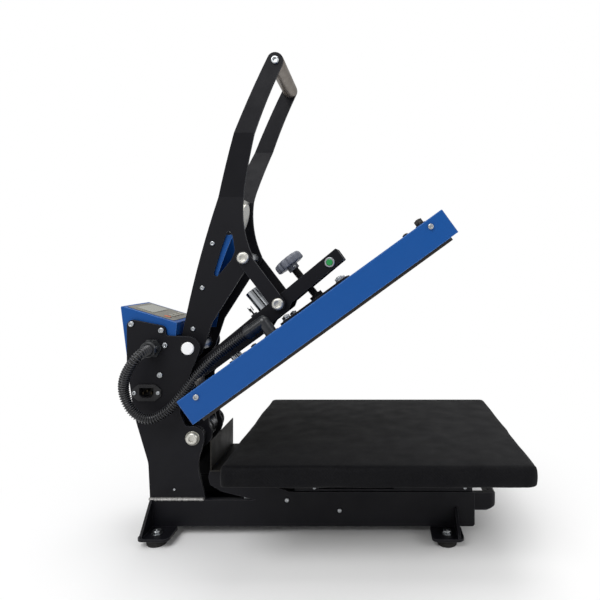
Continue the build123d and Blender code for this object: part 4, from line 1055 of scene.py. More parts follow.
@dataclass
class HeaterHose(SubAssembly):
    """Ribbed conduit from the tower's gland to the elbow on the heater housing."""

    diameter: float = 17.2
    root: float = 6.5
    # The real ribs are 3.6 to 3.9 mm apart. A little coarser, they show at this size.
    pitch: float = 4.0
    steps_per_rib: int = 12
    end_length: float = 105.0
    bend_start: float = -364.0
    bend_end: float = -292.0
    smoothness: int = 24
    route: Sequence[Place] = (
        (-379.0, -73.0, 317.0), (-379.0, -110.0, 317.0), (-406.0, -106.0, 281.0), (-412.0, -98.0, 248.0),
        (-398.0, -93.0, 214.0), (-373.0, -88.0, 201.0), (-345.0, -84.0, 215.0), (-322.0, -78.0, 243.0),
        (-298.0, -71.0, 276.0), (-268.0, -66.0, 306.0),
    )
    # The elbow's mouth and the end of the hose inside it, as they lie with the press shut.
    elbow: Sequence[Place] = ((-161.0, -60.0, 253.1), (-126.0, -60.0, 253.1))

    def line(self) -> list[Vector]:
        """Reads the smooth line of the hose from its route's spline.

        Returns:
            Points along the middle of the hose.
        """
        places = [at(*place) for place in self.route] + [swung(*place) for place in self.elbow]
        curve = bpy.data.curves.new("hose_route", "CURVE")
        curve.dimensions = "3D"
        spline = curve.splines.new("NURBS")
        spline.points.add(len(places) - 1)
        for point, place in zip(spline.points, places):
            point.co = (*place, 1.0)
        spline.order_u = 3
        spline.use_endpoint_u = True
        spline.resolution_u = self.smoothness
        carrier = new_piece("hose_route", curve)
        points = [vert.co.copy() for vert in evaluated(carrier).vertices]
        bpy.data.objects.remove(carrier)
        return points

    def build(self) -> None:
        """Makes the hose and hangs it between the base and the heater housing."""
        points = self.line()
        length = length_of(points)
        LOG.info("hose length %.4f m", length)
        ribs = int((length / MM - self.end_length) / self.pitch)
        main, end = self.cut(points, ribs * self.pitch * MM)
        bend = at(self.bend_start, 0.0, 0.0), at(self.bend_end, 0.0, 0.0)
        self.stretch("conduit", main, Body.BASE, Body.ARM, bend)
        self.stretch("conduit_end", end, Body.ARM, Body.PLATEN, (main[-1], swung(*self.elbow[0])))

    def cut(self, points: Sequence[Vector], run: float) -> tuple[list[Vector], list[Vector]]:
        """Parts the line of the hose in a groove between two ribs.

        Args:
            points: The whole line in metres.
            run: Length of the first part in metres.

        Returns:
            The two lines, which share their seam.
        """
        left = run
        for index, (near, far) in enumerate(zip(points, points[1:])):
            step = (far - near).length
            if left <= step:
                seam = near.lerp(far, left / step)
                return [*points[: index + 1], seam], [seam, *points[index + 1 :]]
            left -= step
        raise ValueError("the cut lies beyond the hose")

    def stretch(
        self, name: str, line: Sequence[Vector], near: Body, far: Body, bend: tuple[Vector, Vector]
    ) -> None:
        """Makes one stretch of the hose, which bends between the bodies at its ends.

        Args:
            name: The piece's name.
            line: The middle of the stretch in metres.
            near: The body at its start.
            far: The body at its end.
            bend: Where it starts to follow the far body, and where it follows it fully.
        """
        sizes = {
            "Root_Radius": self.root * MM,
            "Rib_Height": (self.diameter / 2.0 - self.root) * MM,
            "Rib_Pitch": self.pitch * MM,
            "Step": self.pitch * MM / self.steps_per_rib,
        }
        hose = self.shop.tube(name, line, "conduit", **sizes)
        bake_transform(hose, near.value, far.value, start=tuple(bend[0]), end=tuple(bend[1]))
        self.shop.finish_piece(hose, near, "conduit", ["heater_hose"])


@dataclass(frozen=True)
class Swell:
    """A wave along the cloth, whose phase wanders so that no two folds are alike."""

    length: float
    phase: float = 0.0
    slant: float = 0.0
    wander: float = 0.0
    wander_length: float = 1.0

    def height(self, run: float, level: float = 0.0) -> float:
        """Its height from -1 to 1, at a run along the outline and a share down the side."""
        shift = self.phase + self.slant * level + self.wander * math.sin(run / self.wander_length)
        return math.sin(run / self.length + shift)


@dataclass
class PadCover(SubAssembly):
    """Stretched cloth cover over the foam pad, tucked in under the platen."""

    half_x: float = 230.2
    half_y: float = 200.2
    centre_x: float = 3.0
    corner: float = 11.0
    top: float = 166.7
    rim: float = 0.25
    crown: float = 2.3
    bottom: float = 136.4
    tuck: float = 14.0
    thickness: float = 0.8
    around: int = 460
    slack: float = 2.3
    hollow: float = 0.16
    hem: float = 0.7
    hem_waves: Span = (23.0, 61.0)
    hem_depth: float = 20.0
    # What is left of the flat rectangle when its corners are cut out.
    cut_share: float = 0.97
    gather: float = 0.9
    gather_reach: float = 52.0
    gathers: Swell = Swell(2.3, wander=1.7, wander_length=11.0)
    broad: Swell = Swell(37.0, 0.8)
    uneven: Swell = Swell(17.0, wander=2.1, wander_length=90.0)
    fold: Swell = Swell(31.0, slant=2.6, wander=1.4, wander_length=113.0)
    ripple: Swell = Swell(12.5, slant=-3.4, wander=1.9, wander_length=47.0)
    # Distances from the middle of the top at which it has a ring of points, as shares.
    shares: Sequence[float] = (0.12, 0.24, 0.36, 0.48, 0.6, 0.7, 0.79, 0.86, 0.92, 0.965)

    def outline(self) -> list[tuple[Vector, Vector, float]]:
        """Walks round the rounded rectangle.

        Returns:
            Point, outward normal and distance along it, in millimetres.
        """
        straight_x = 2.0 * (self.half_x - self.corner)
        straight_y = 2.0 * (self.half_y - self.corner)
        arc = math.pi / 2.0 * self.corner
        runs = [straight_x, arc, straight_y, arc, straight_x, arc, straight_y, arc]
        total = sum(runs)
        found = []
        for step in range(self.around):
            run = total * step / self.around
            distance, side = run, 0
            while distance > runs[side]:
                distance -= runs[side]
                side += 1
            quarter = side // 2
            turn = Matrix.Rotation(quarter * math.pi / 2.0, 2)
            half = (self.half_x, self.half_y) if quarter % 2 == 0 else (self.half_y, self.half_x)
            if side % 2 == 0:
                point = Vector((-half[0] + self.corner + distance, -half[1]))
                normal = Vector((0.0, -1.0))
            else:
                angle = -math.pi / 2.0 + distance / self.corner
                normal = Vector((math.cos(angle), math.sin(angle)))
                point = Vector((half[0] - self.corner, -half[1] + self.corner)) + normal * self.corner
            found.append((turn @ point, turn @ normal, run))
        return found

    def near_corner(self, point: Vector) -> float:
        """How near a corner a point of the outline is, from 1 there to 0 a gather's reach away."""
        off = (max(self.half_x - abs(point.x), 0.0), max(self.half_y - abs(point.y), 0.0))
        return max(0.0, 1.0 - math.hypot(*off) / self.gather_reach)

    def section(self) -> list[tuple[float, float, float]]:
        """Side view of the cover from the edge of its top to the end of its tuck.

        Returns:
            Inset from the outline, height and share of the wrinkles that show.
        """
        top, bottom = self.top, self.bottom
        side = top - bottom
        return [
            (10.0, top + self.rim, 0.02), (6.9, top - 0.1, 0.08), (4.3, top - 0.8, 0.2),
            (2.3, top - 2.0, 0.35), (1.0, top - 3.9, 0.55), (0.4, top - 6.8, 0.75),
            (0.0, top - 0.42 * side, 0.9), (0.0, top - 0.58 * side, 1.0),
            (0.2, top - 0.74 * side, 1.0), (0.6, top - 0.87 * side, 1.0),
            (1.3, bottom + 1.5, 1.0), (2.6, bottom + 0.4, 0.9), (5.2, bottom, 0.6),
            (9.0, bottom - 0.1, 0.4), (self.tuck, bottom + 0.2, 0.3),
        ]

    def wrinkle(self, point: Vector, run: float) -> float:
        """How far the cloth stands out between its gathers.

        Args:
            point: The point of the outline in millimetres.
            run: Distance along the outline in millimetres.

        Returns:
            Millimetres, outwards.
        """
        corner = self.near_corner(point)
        gathers = self.gather * corner**1.3 * self.gathers.height(run)
        slack = 0.45 * self.broad.height(run) + 0.3 * self.uneven.height(run)
        return gathers + slack * (1.0 - 0.6 * corner)

    def drape(self, run: float, height: float) -> float:
        """Slack that hangs in slanting lens-shaped swells between the tucks.

        Args:
            run: Distance along the outline in millimetres.
            height: Height of the point in millimetres.

        Returns:
            Millimetres, outwards.
        """
        level = min(1.0, max(0.0, (self.top - height) / (self.top - self.bottom)))
        swell = self.fold.height(run, level) + 0.35 * self.ripple.height(run, level)
        return math.sin(math.pi * level) * self.slack * swell

    def crowned(self, place: Vector, share: float) -> float:
        """Height of the top at a place, a share of the way out from its middle, in millimetres."""
        hollows = self.hollow * math.sin(place.x / 31.0 + 0.7) * math.sin(place.y / 27.0) * (1.0 - share**3)
        return self.top + self.rim + self.crown * (1.0 - share**2.6) * 0.9 + hollows

    def sag(self, run: float, height: float) -> float:
        """How far the hem hangs low or rides high at a run along the outline, in millimetres."""
        waves = [math.sin(run / length) for length in self.hem_waves]
        return self.hem * waves[0] * waves[1] if height < self.top - self.hem_depth else 0.0

    def mesh(self) -> Mesh:
        """Builds the cloth as one surface with its flat pattern as UVs.

        Returns:
            The mesh in metres.
        """
        work = bmesh.new()
        flat_layer: dict[bmesh.types.BMVert, Vector] = {}
        walk = self.outline()
        rings = []
        first_inset = self.section()[0][0]

        def stitch(ring: list, place: Vector, height: float, flat: Vector) -> None:
            """Adds a point of the cloth, with its place on the flat pattern, to a ring."""
            ring.append(work.verts.new(at(place.x + self.centre_x, place.y, height)))
            flat_layer[ring[-1]] = flat

        middle = []
        stitch(middle, Vector((0.0, 0.0)), self.top + self.crown, Vector((0.0, 0.0)))
        for share in self.shares:
            rings.append([])
            for point, normal, run in walk:
                place = (point - normal * first_inset) * share
                stitch(rings[-1], place, self.crowned(place, share), place)
        drop = 0.0
        before = (first_inset, self.top + self.rim)
        for inset, height, share in self.section():
            drop += math.hypot(inset - before[0], height - before[1])
            before = (inset, height)
            rings.append([])
            for point, normal, run in walk:
                out = self.wrinkle(point, run) * share
                out += self.drape(run, height) * (1.0 - self.near_corner(point))
                flat = point + normal * (drop - first_inset)
                stitch(rings[-1], point - normal * (inset - out), height + self.sag(run, height), flat)
        for step in range(len(walk)):
            work.faces.new((middle[0], rings[0][step], rings[0][(step + 1) % len(walk)]))
        for low, high in zip(rings, rings[1:]):
            for step in range(len(walk)):
                after = (step + 1) % len(walk)
                work.faces.new((low[step], high[step], high[after], low[after]))
        uv = work.loops.layers.uv.new("flat_pattern")
        for face in work.faces:
            for loop in face.loops:
                loop[uv].uv = flat_layer[loop.vert] * MM
        return from_bmesh("pad_cloth", work, 75.0)

    def build(self) -> None:
        """Makes the cover and stretches it over the pad."""
        cover = new_piece("pad_cloth", self.mesh())
        wall = cover.modifiers.new("wall", "SOLIDIFY")
        wall.thickness = self.thickness * MM
        wall.offset = -1.0
        solid = evaluated(cover)
        cover.modifiers.clear()
        cover.data = solid
        self.shop.finish_piece(cover, Body.DRAWER, "cloth", ["pad_cover"])

    def fall(self) -> float:
        """Length of cloth from the outline down the side and under, in millimetres."""
        steps = self.section()
        return sum(math.dist(a[:2], b[:2]) for a, b in zip(steps, steps[1:])) - steps[0][0]

    def flat_area(self) -> float:
        """Area of the cloth with its corners cut out, in square metres."""
        sides = 4.0 * (self.half_x + self.half_y) * self.fall()
        return (4.0 * self.half_x * self.half_y + sides) * MM * MM * self.cut_share


@dataclass
class FoamSlab(SubAssembly):
    """Soft slab with rounded edges and a faintly uneven skin, standing for a CAD solid."""

    name: str
    node: str
    body: Body
    finish: str
    edge: float = 2.0

    def build(self) -> None:
        """Makes the slab from the CAD solid's own corners."""
        work = bmesh.new()
        work.from_mesh(self.shop.nodes[self.node].data)
        bmesh.ops.remove_doubles(work, verts=work.verts, dist=SAME_PLACE)
        bmesh.ops.dissolve_limit(work, angle_limit=math.radians(3.0), verts=work.verts, edges=work.edges)
        sharp = math.radians(60)
        rims = [e for e in work.edges if len(e.link_faces) == 2 and e.calc_face_angle(0.0) > sharp]
        bmesh.ops.bevel(work, geom=rims, offset=self.edge * MM, segments=3, affect="EDGES", profile=0.5)
        piece = new_piece(self.name, from_bmesh(self.name, work, 40.0))
        self.shop.finish_piece(piece, self.body, self.finish, [self.node])


@dataclass
class Knob(SubAssembly):
    """Lobed hand knob on the pressure screw, with its hub and threaded end."""

    radius: float = 27.3
    lobes: int = 12
    steps_per_lobe: int = 18
    height: float = 17.0
    standoff: float = 28.5
    dip: float = 2.8
    hub: float = 10.4
    thread: float = 6.95
    thread_depth: float = 0.8
    pitch: float = 2.0
    # The screw's place along the shut arm, and the arm's top, which slopes down towards it.
    screw_x: float = -10.0
    beam_top: float = 283.8
    slope: float = 3.5
    slope_run: float = 83.0
    grub: Span = (2.9, 1.9)
    grub_side: Place = (0.5, -0.85, 0.0)
    grub_drop: float = 4.6

    def frame(self) -> tuple[Vector, Vector]:
        """Where the screw leaves the beam, and the way it points at rest.

        Returns:
            The place in metres and the unit vector.
        """
        tilt = math.radians(self.slope)
        top = self.beam_top - self.slope_run * math.tan(tilt)
        foot = swung(self.screw_x, 0.0, top)
        tip = swung(self.screw_x - 10.0 * math.sin(tilt), 0.0, top + 10.0 * math.cos(tilt))
        return foot, (tip - foot).normalized()

    def rim(self, radius: float, height: float, share: float) -> list[Place]:
        """One ring of the knob, notched between its lobes.

        Args:
            radius: Its reach at the lobes in millimetres.
            height: Its height in millimetres.
            share: How deep its notches go, from 0 to 1.

        Returns:
            Its points in metres.
        """
        count = self.lobes * self.steps_per_lobe
        points = []
        for step in range(count):
            angle = FULL_TURN * step / count
            notch = (0.5 + 0.5 * math.cos(self.lobes * angle)) ** 2.2
            points.append(ring_point(radius - share * self.dip * notch, angle, height))
        return points

    def mesh(self) -> Mesh:
        """Builds the knob standing on the origin.

        Returns:
            The mesh in metres.
        """
        low, high = self.standoff, self.standoff + self.height
        rings = [
            (self.hub * 0.9, low - 9.0, 0.0), (self.hub, low - 8.4, 0.0), (self.hub, low - 0.6, 0.0),
            (self.hub + 1.0, low, 0.0), (self.radius - 3.2, low, 0.9), (self.radius - 0.9, low + 0.7, 1.0),
            (self.radius, low + 2.4, 1.0), (self.radius, low + 0.55 * self.height, 1.0),
            (self.radius - 0.7, low + 0.78 * self.height, 1.0), (self.radius - 2.6, high - 1.7, 0.9),
            (self.radius - 6.5, high - 0.7, 0.55), (self.radius - 12.0, high - 0.3, 0.15),
            (8.5, high - 0.2, 0.0), (8.0, high - 1.0, 0.0), (2.0, high - 1.1, 0.0),
        ]
        return lofted("hand_knob", [self.rim(*ring) for ring in rings], 40.0)

    def screw(self) -> list[Ring]:
        """Rings of the pressure screw, from inside the beam up to the hub.

        Returns:
            The rings.
        """
        root, pitch = self.thread - self.thread_depth, self.pitch
        rings = [Ring(root - 2.0, -52.0), Ring(root, -51.0)]
        height = -50.5
        while height < self.standoff - 2.0:
            rings += [Ring(root, height), Ring(self.thread, height + 0.35 * pitch)]
            rings += [Ring(self.thread, height + 0.55 * pitch), Ring(root, height + 0.9 * pitch)]
            height += pitch
        return rings + [Ring(root, self.standoff - 0.5), Ring(root - 1.0, self.standoff - 0.2)]

    def build(self) -> None:
        """Makes the knob, its screw and the grub screw in its hub."""
        foot, way = self.frame()
        seat = [Seat(foot, way)]
        self.shop.stand("hand_knob", self.mesh(), seat, "bakelite", Body.KNOB, ["pressure_knob"], spin=0.0)
        screw = turned("screw", self.screw())
        self.shop.stand("pressure_screw", screw, seat, "black_oxide", Body.KNOB, ["pressure_stud"], spin=0.0)
        side = Vector(self.grub_side)
        side = (side - way * side.dot(way)).normalized()
        hole = [Seat(foot + (way * (self.standoff - self.grub_drop) + side * (self.hub - 0.4)) * MM, side)]
        grub = turned("grub", socket_button(*self.grub))
        self.shop.stand("knob_grub_screw", grub, hole, "zinc", Body.KNOB)


@dataclass
class Fasteners(SubAssembly):
    """Screws, bolts and nuts, each standing where its CAD head sits."""

    head_ratio: float = 0.56
    small_head: float = 6.0
    cover_top: float = 227.6
    link_face: float = 46.5
    tower_face: float = 60.0
    bolt_head: float = 10.5
    bolt_height: float = 5.4
    washer: float = 12.0
    link_top: Span = (-229.7, 469.6)
    link_foot: Span = (-169.7, 390.4)
    bar_screw: Span = (-342.5, 77.0)
    # Radius and height of a head, or a nut's radius and height with its thread's radius and reach.
    pan: Span = (2.2, 1.5)
    housing_nut: Sequence[float] = (7.2, 8.4, 4.0, 9.4)
    bridge_head: Sequence[float] = (7.5, 6.4, 4.0, 7.6)

    def heads(self, name: str, node: str, body: Body) -> None:
        """Stands a domed socket screw on each head of a CAD piece.

        Args:
            name: The new piece's name.
            node: The CAD piece, one solid for each head.
            body: The body it rides on.
        """
        places = []
        for seat in seats(self.shop.nodes[node]):
            if seat.radius < self.small_head * MM or seat.height > 4.0 * seat.radius:
                sunk = max(0.0, seat.height - self.head_ratio * seat.radius)
                places.append(Seat(seat.foot + seat.facing * sunk, seat.facing, seat.radius, seat.height))
        unit = turned("socket_screw", socket_button(1000.0, 1000.0 * self.head_ratio))
        self.shop.stand(name, unit, places, "zinc", body, [node], sizes=[seat.radius for seat in places])

    def pair(self, place: Span, face: float) -> list[Seat]:
        """Seats on both sides of the press, at one place of the side view and a distance out."""
        return [Seat(at(place[0], side * face, place[1]), Vector((0.0, side, 0.0))) for side in SIDES]

    def pivots(self) -> None:
        """Makes the button bolts of the linkage and the main pivot, with washers and axle."""
        button = socket_button(self.bolt_head, self.bolt_height)
        links = self.pair(self.link_top, self.link_face) + self.pair(self.link_foot, self.link_face)
        bolt = turned("button", button, 48)
        self.shop.stand("link_button_bolts", bolt, links, "pale_zinc", Body.LINK, ["link_bolts"])
        half = [(9.5, 34.6), (9.1, 35.2), (6.0, 35.2), (6.0, 46.0)]
        spacer = [Ring(r, -h) for r, h in half[::-1]] + [Ring(r, h) for r, h in half]
        middle = [Seat(at(self.link_top[0], 0.0, self.link_top[1]), Vector((0.0, 1.0, 0.0)))]
        self.shop.stand("link_spacer_tube", turned("spacer", spacer, 40), middle, "zinc", Body.LINK)
        rim = self.washer - 0.3
        washer = [Ring(rim, 0.0), Ring(self.washer, 0.3), Ring(self.washer, 1.2), Ring(rim, 1.5)]
        raised = [Ring(r.radius, r.height + 1.51, r.hexagon) for r in button]
        bolt = turned("pivot_button", washer + raised, 48)
        ends = self.pair(MAIN_PIVOT, self.tower_face)
        self.shop.stand("pivot_button_bolts", bolt, ends, "pale_zinc", Body.BASE, ["pivot_bolts"])

    def build(self) -> None:
        """Makes all the fasteners."""
        self.heads("body_socket_screws", "body_screws", Body.BASE)
        self.heads("drawer_socket_screws", "drawer_screws", Body.DRAWER)
        self.heads("lever_socket_screws", "lever_screws", Body.LEVER)
        self.heads("housing_socket_screws", "cover_screws", Body.PLATEN)
        self.pivots()
        pan = turned("pan", socket_button(*self.pan))
        bar = self.pair(self.bar_screw, self.tower_face)
        self.shop.stand("rear_bar_screws", pan, bar, "zinc", Body.BASE)
        normal = platen_normal()
        top = swung(0.0, 0.0, self.cover_top).dot(normal)
        nuts = [
            Seat(seat.foot + normal * (top - seat.foot.dot(normal)), normal)
            for seat in seats(self.shop.nodes["cover_studs"], normal)
        ]
        nut = turned("nut", nut_and_stud(*self.housing_nut))
        self.shop.stand("housing_nuts", nut, nuts, "dark_steel", Body.PLATEN, ["cover_studs"])
        head = turned("hex_head", nut_and_stud(*self.bridge_head))
        bridge = seats(self.shop.nodes["bridge_bolts"], normal)
        self.shop.stand("bridge_screws", head, bridge, "zinc", Body.PLATEN, ["bridge_bolts"])


@dataclass
class Feet(SubAssembly):
    """Moulded rubber feet with a rounded rim, and the bolts that hold them."""

    radius: float = 18.0
    height: float = 12.0
    bolt_seat: float = 16.0
    nut: Sequence[float] = (7.5, 6.0, 3.0, 6.6)

    def build(self) -> None:
        """Makes the feet."""
        r, h = self.radius, self.height
        profile = [
            (r - 5.0, 0.35), (r - 4.2, 0.0), (r - 2.8, 0.0), (r - 2.0, 0.8), (r - 1.6, 3.0), (r - 1.5, 4.6),
            (r - 2.2, 5.4), (r - 1.4, 6.2), (r - 0.9, h - 2.0), (r - 1.2, h - 0.7), (r - 2.2, h), (3.0, h),
        ]
        foot = turned("foot", [Ring(*step) for step in profile], 40)
        places = seats(self.shop.nodes["rubber_feet"], UP)
        self.shop.stand("moulded_feet", foot, places, "rubber", Body.BASE, ["rubber_feet"])
        bolt = turned("bolt", nut_and_stud(*self.nut))
        bolts = seats(self.shop.nodes["foot_bolts"], UP, base=self.bolt_seat * MM)
        self.shop.stand("feet_bolts", bolt, bolts, "zinc", Body.BASE, ["foot_bolts"])


@dataclass
class Welds(SubAssembly):
    """Beads that join the tower plates to the base rails."""

    start: float = -382.0
    end: float = -293.0
    height: float = 61.5
    side: float = 61.0
    step: float = 2.1
    lean: Place = (0.25, 0.6, 1.0)

    def build(self) -> None:
        """Lays overlapping ripples of weld metal along each joint."""
        places = []
        for side in SIDES:
            way = Vector((self.lean[0], side * self.lean[1], self.lean[2])).normalized()
            x = self.start
            while x <= self.end:
                places.append(Seat(at(x, side * self.side, self.height), way))
                x += self.step
        rings = [Ring(0.8, -2.0), Ring(2.6, -1.3), Ring(3.1, 0.0), Ring(2.4, 1.1), Ring(0.9, 1.6)]
        ripple = turned("ripple", rings, 14)
        self.shop.stand("weld_beads", ripple, places, "weld", Body.BASE, size_swing=0.3, spin=0.6)


@dataclass
class ReturnSprings(SubAssembly):
    """Torsion springs wound round the pivot sleeve, with their straight legs."""

    radius: float = 16.4
    wire: float = 1.75
    turns: int = 5
    steps: int = 28
    pitch: float = 3.75
    inner: float = 5.0
    leg_foot: float = 89.0
    rod: Span = (-314.4, 216.6)
    hook: Span = (6.2, 6.0)

    def line(self, side: float) -> list[Vector]:
        """The middle of the wire.

        Args:
            side: -1 for the left spring and 1 for the right.

        Returns:
            Points in metres.
        """
        x0, z0 = MAIN_PIVOT
        points = [at(x0 - self.radius, side * self.inner, z) for z in (self.leg_foot, z0 - 8.0)]
        count = self.turns * self.steps + self.steps // 2
        for step in range(count + 1):
            angle = math.pi - FULL_TURN * step / self.steps
            y = side * (self.inner + self.pitch * step / self.steps)
            points.append(at(x0 + self.radius * math.cos(angle), y, z0 + self.radius * math.sin(angle)))
        end = side * (self.inner + self.pitch * count / self.steps)
        return points + [at(self.rod[0] + self.hook[0], end, self.rod[1] + self.hook[1])]

    def build(self) -> None:
        """Makes both springs."""
        work = bmesh.new()
        sizes = {"Root_Radius": self.wire * MM, "Rib_Height": 0.0, "Step": 1.2 * MM, "Segments": 12}
        for side in SIDES:
            spring = self.shop.tube("torsion_spring", self.line(side), "spring_wire", **sizes)
            work.from_mesh(spring.data)
            bpy.data.objects.remove(spring)
        springs = new_piece("torsion_springs", from_bmesh("torsion_springs", work, 50.0))
        self.shop.finish_piece(springs, Body.BASE, "spring_wire", ["return_spring"])


@dataclass
class MagnetLeads(SubAssembly):
    """Two plated pins that stand on the magnet's terminal block."""

    block: Span = (-225.9, 375.6)
    apart: float = 6.4
    length: float = 8.0
    radius: float = 0.95

    def build(self) -> None:
        """Makes the pins."""
        along = Vector((math.cos(OPEN_ANGLE), 0.0, math.sin(OPEN_ANGLE)))
        foot = at(self.block[0], 0.0, self.block[1])
        pins = [Seat(foot + along * (side * self.apart / 2.0 * MM), platen_normal()) for side in SIDES]
        r, tall = self.radius, self.length
        rings = [Ring(r, -2.0), Ring(r, tall - 0.8), Ring(r / 2.0, tall)]
        self.shop.stand("terminal_pins", turned("pin", rings, 16), pins, "zinc", Body.ARM)


@dataclass
class ControlPanel(SubAssembly):
    """Keys on the sloping top of the control box."""

    slope: float = 16.8
    middle: Span = (-389.0, 373.5)
    key_row: float = 24.0
    first_key: float = -30.0
    key_pitch: float = 20.0
    keys: int = 4
    key_seat: float = 0.8

    def place(self, x: float, y: float, z: float) -> Vector:
        """A point on the panel in the row frame.

        Args:
            x: Millimetres down the slope from the panel's middle.
            y: Millimetres to the right.
            z: Millimetres above the panel.

        Returns:
            The point in metres.
        """
        turn = math.radians(self.slope)
        forward = x * math.cos(turn) + z * math.sin(turn)
        return at(self.middle[0] + forward, y, self.middle[1] - x * math.sin(turn) + z * math.cos(turn))

    def build(self) -> None:
        """Adds domed keys over the flat ones."""
        up = (self.place(0.0, 0.0, 1.0) - self.place(0.0, 0.0, 0.0)).normalized()
        rings = [Ring(6.2, -0.2), Ring(6.2, 0.5), Ring(5.8, 0.9), Ring(4.2, 1.15), Ring(1.5, 1.25)]
        rows = [self.first_key + self.key_pitch * index for index in range(self.keys)]
        keys = [Seat(self.place(self.key_row, row, self.key_seat), up) for row in rows]
        self.shop.stand("panel_keys", turned("key", rings, 28), keys[1:], "overlay_key", Body.BASE)
        self.shop.stand("start_key", turned("key", rings, 28), keys[:1], "orange_key", Body.BASE)


@dataclass(frozen=True)
class Lamp:
    """A square soft lamp: where it hangs, its side in metres and its power in watts."""

    name: str
    place: Place
    side: float
    power: float

    def hang(self, aim: Vector) -> None:
        """Hangs the lamp so that it points at a place.

        Args:
            aim: The place in metres.
        """
        light = bpy.data.lights.new(self.name, "AREA")
        light.size = self.side
        light.energy = self.power
        lamp = new_piece(self.name, light)
        lamp.location = self.place
        lamp.rotation_euler = (aim - Vector(self.place)).to_track_quat("-Z", "Y").to_euler()


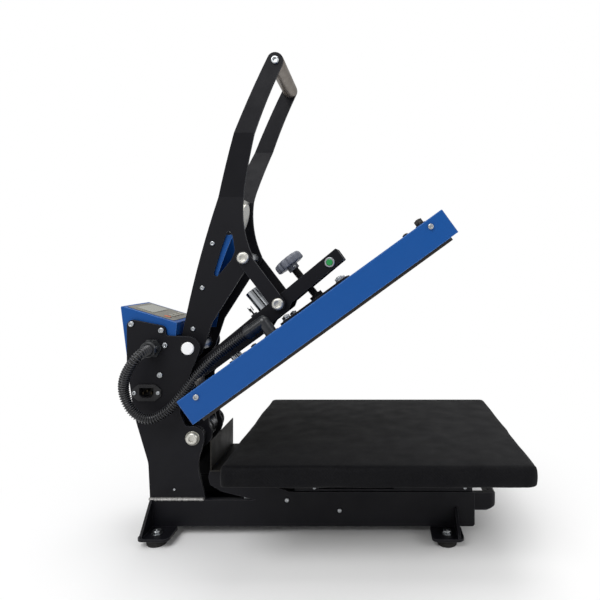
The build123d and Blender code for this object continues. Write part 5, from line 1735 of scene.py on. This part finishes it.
@dataclass
class Studio:
    """Pale floor, soft lamps and the camera at the photograph's place."""

    camera_from_pad: Place = (0.0, -968.8, 455.0)
    focal: float = 32.16
    sensor: float = 36.0
    nearest: float = 0.01
    shift: Span = (-0.1275, -0.0558)
    floor_half: float = 4.0
    # Distances from the middle, in metres, between which the paper fades into the background.
    fade: Span = (0.22, 0.66)
    # How bright the white room is to every surface, and how much more to shiny ones.
    ambient: float = 0.34
    mirrored: float = 0.2
    aim: Place = (0.0, 0.0, 0.35)
    lamps: Sequence[Lamp] = (
        Lamp("key", (-0.9, -1.7, 2.1), 1.6, 42.0),
        Lamp("fill", (1.9, -1.2, 1.2), 1.5, 14.0),
        Lamp("top", (0.1, 0.5, 2.4), 1.8, 26.0),
    )

    def floor_material(self) -> Material:
        """White paper that fades into the white background.

        Returns:
            The material.
        """
        material = bpy.data.materials.new("white_paper")
        tree = emptied(material)
        place = add(tree, "ShaderNodeTexCoord").outputs["Object"]
        far = add(tree, "ShaderNodeVectorMath", {"operation": "LENGTH"}, {0: place}).outputs["Value"]
        fade = remap(tree, far, self.fade, kind="SMOOTHSTEP")
        paper = add(tree, "ShaderNodeBsdfDiffuse", links={"Color": linear("#fafafa")}).outputs[0]
        light = {"Color": linear("#ffffff"), "Strength": 1.0}
        white = add(tree, "ShaderNodeEmission", links=light).outputs[0]
        rays = add(tree, "ShaderNodeLightPath").outputs
        seen = calculate(tree, "MAXIMUM", rays["Is Camera Ray"], rays["Is Glossy Ray"])
        share = calculate(tree, "MULTIPLY", fade, seen)
        mix = add(tree, "ShaderNodeMixShader", links={0: share, 1: paper, 2: white})
        add(tree, "ShaderNodeOutputMaterial", links={"Surface": mix.outputs[0]})
        return material

    def floor(self) -> None:
        """Lays the floor under the press."""
        mesh = bpy.data.meshes.new("floor")
        half = self.floor_half
        corners = [(-half, -half, 0.0), (half, -half, 0.0), (half, half, 0.0), (-half, half, 0.0)]
        mesh.from_pydata(corners, [], [(0, 1, 2, 3)])
        floor = new_piece("floor", mesh)
        floor.data.materials.append(self.floor_material())

    def world(self) -> None:
        """White background that lights the press gently from all round."""
        world = bpy.data.worlds.new("studio")
        bpy.context.scene.world = world
        tree = emptied(world)
        rays = add(tree, "ShaderNodeLightPath").outputs
        seen = calculate(tree, "MAXIMUM", rays["Is Camera Ray"], rays["Is Transmission Ray"])
        shiny = calculate(tree, "MULTIPLY_ADD", rays["Is Glossy Ray"], self.mirrored, self.ambient)
        light = {"Color": linear("#ffffff"), "Strength": calculate(tree, "MAXIMUM", seen, shiny)}
        back = add(tree, "ShaderNodeBackground", links=light)
        add(tree, "ShaderNodeOutputWorld", links={"Surface": back.outputs[0]})

    def camera(self) -> None:
        """Sets the camera where the photograph was taken from."""
        data = bpy.data.cameras.new("camera")
        data.lens = self.focal
        data.sensor_width = self.sensor
        data.shift_x, data.shift_y = self.shift
        data.clip_start = self.nearest
        camera = new_piece("camera", data)
        camera.location = at(*self.camera_from_pad)
        camera.rotation_euler = (math.pi / 2.0, 0.0, 0.0)
        bpy.context.scene.camera = camera

    def build(self) -> None:
        """Sets up the whole studio."""
        bpy.context.scene.view_settings.view_transform = "Standard"
        self.camera()
        self.floor()
        self.world()
        for lamp in self.lamps:
            lamp.hang(Vector(self.aim))


NODE_FINISHES: dict[str, tuple[str, ...]] = {
    "black_powder": (
        "base_rail_left", "base_rail_right", "base_pan", "foot_brackets", "tower_plate_left",
        "tower_plate_right", "tower_back", "tower_bar", "drawer_frame", "drawer_handle",
        "platen_bearers", "arm_plate_left", "arm_plate_right", "beam_web", "bridge_plate",
        "lever_plates", "links",
    ),
    "blue_powder": ("control_box", "heater_cover", "lever_spine"),
    "zinc": ("slide_rails", "slide_runners", "pivot_sleeve", "lever_sleeve", "button_housing"),
    "pale_zinc": ("armature",),
    "nickel": ("pivot_shafts", "holding_magnet", "guide_pins"),
    "cut_aluminium": ("lower_platen",),
    "platen_coat": ("heater_plate",),
    "anodised_grip": ("lever_grip",),
    "black_nylon": ("power_inlet", "magnet_terminal"),
    "fitting": ("hose_gland", "hose_elbow"),
    "white_nylon": ("shaft_caps",),
    "green_lens": ("button_cap",),
    "overlay": ("control_panel",),
    "window": ("display_window",),
    "guard_paint": ("rear_guard",),
    "blade": ("inlet_pins",),
    "brass": ("stud_bush",),
}


def main() -> None:
    """Builds the scene and reports each piece."""
    logging.basicConfig(level=logging.INFO, format="%(message)s")
    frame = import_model()
    shop = Workshop(frame["nodes"])
    Studio().build()
    for finish, names in NODE_FINISHES.items():
        for name in names:
            dress(shop.nodes[name], finish)
    HeaterHose(shop).build()
    FoamSlab(shop, "foam_pad", "platen_pad", Body.DRAWER, "sponge").build()
    FoamSlab(shop, "glass_mat", "insulation_mat", Body.PLATEN, "mat", 1.5).build()
    for group in (PadCover, Knob, Fasteners, Feet, Welds, ReturnSprings, ControlPanel, MagnetLeads):
        group(shop).build()
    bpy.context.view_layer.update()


if __name__ == "__main__":
    main()
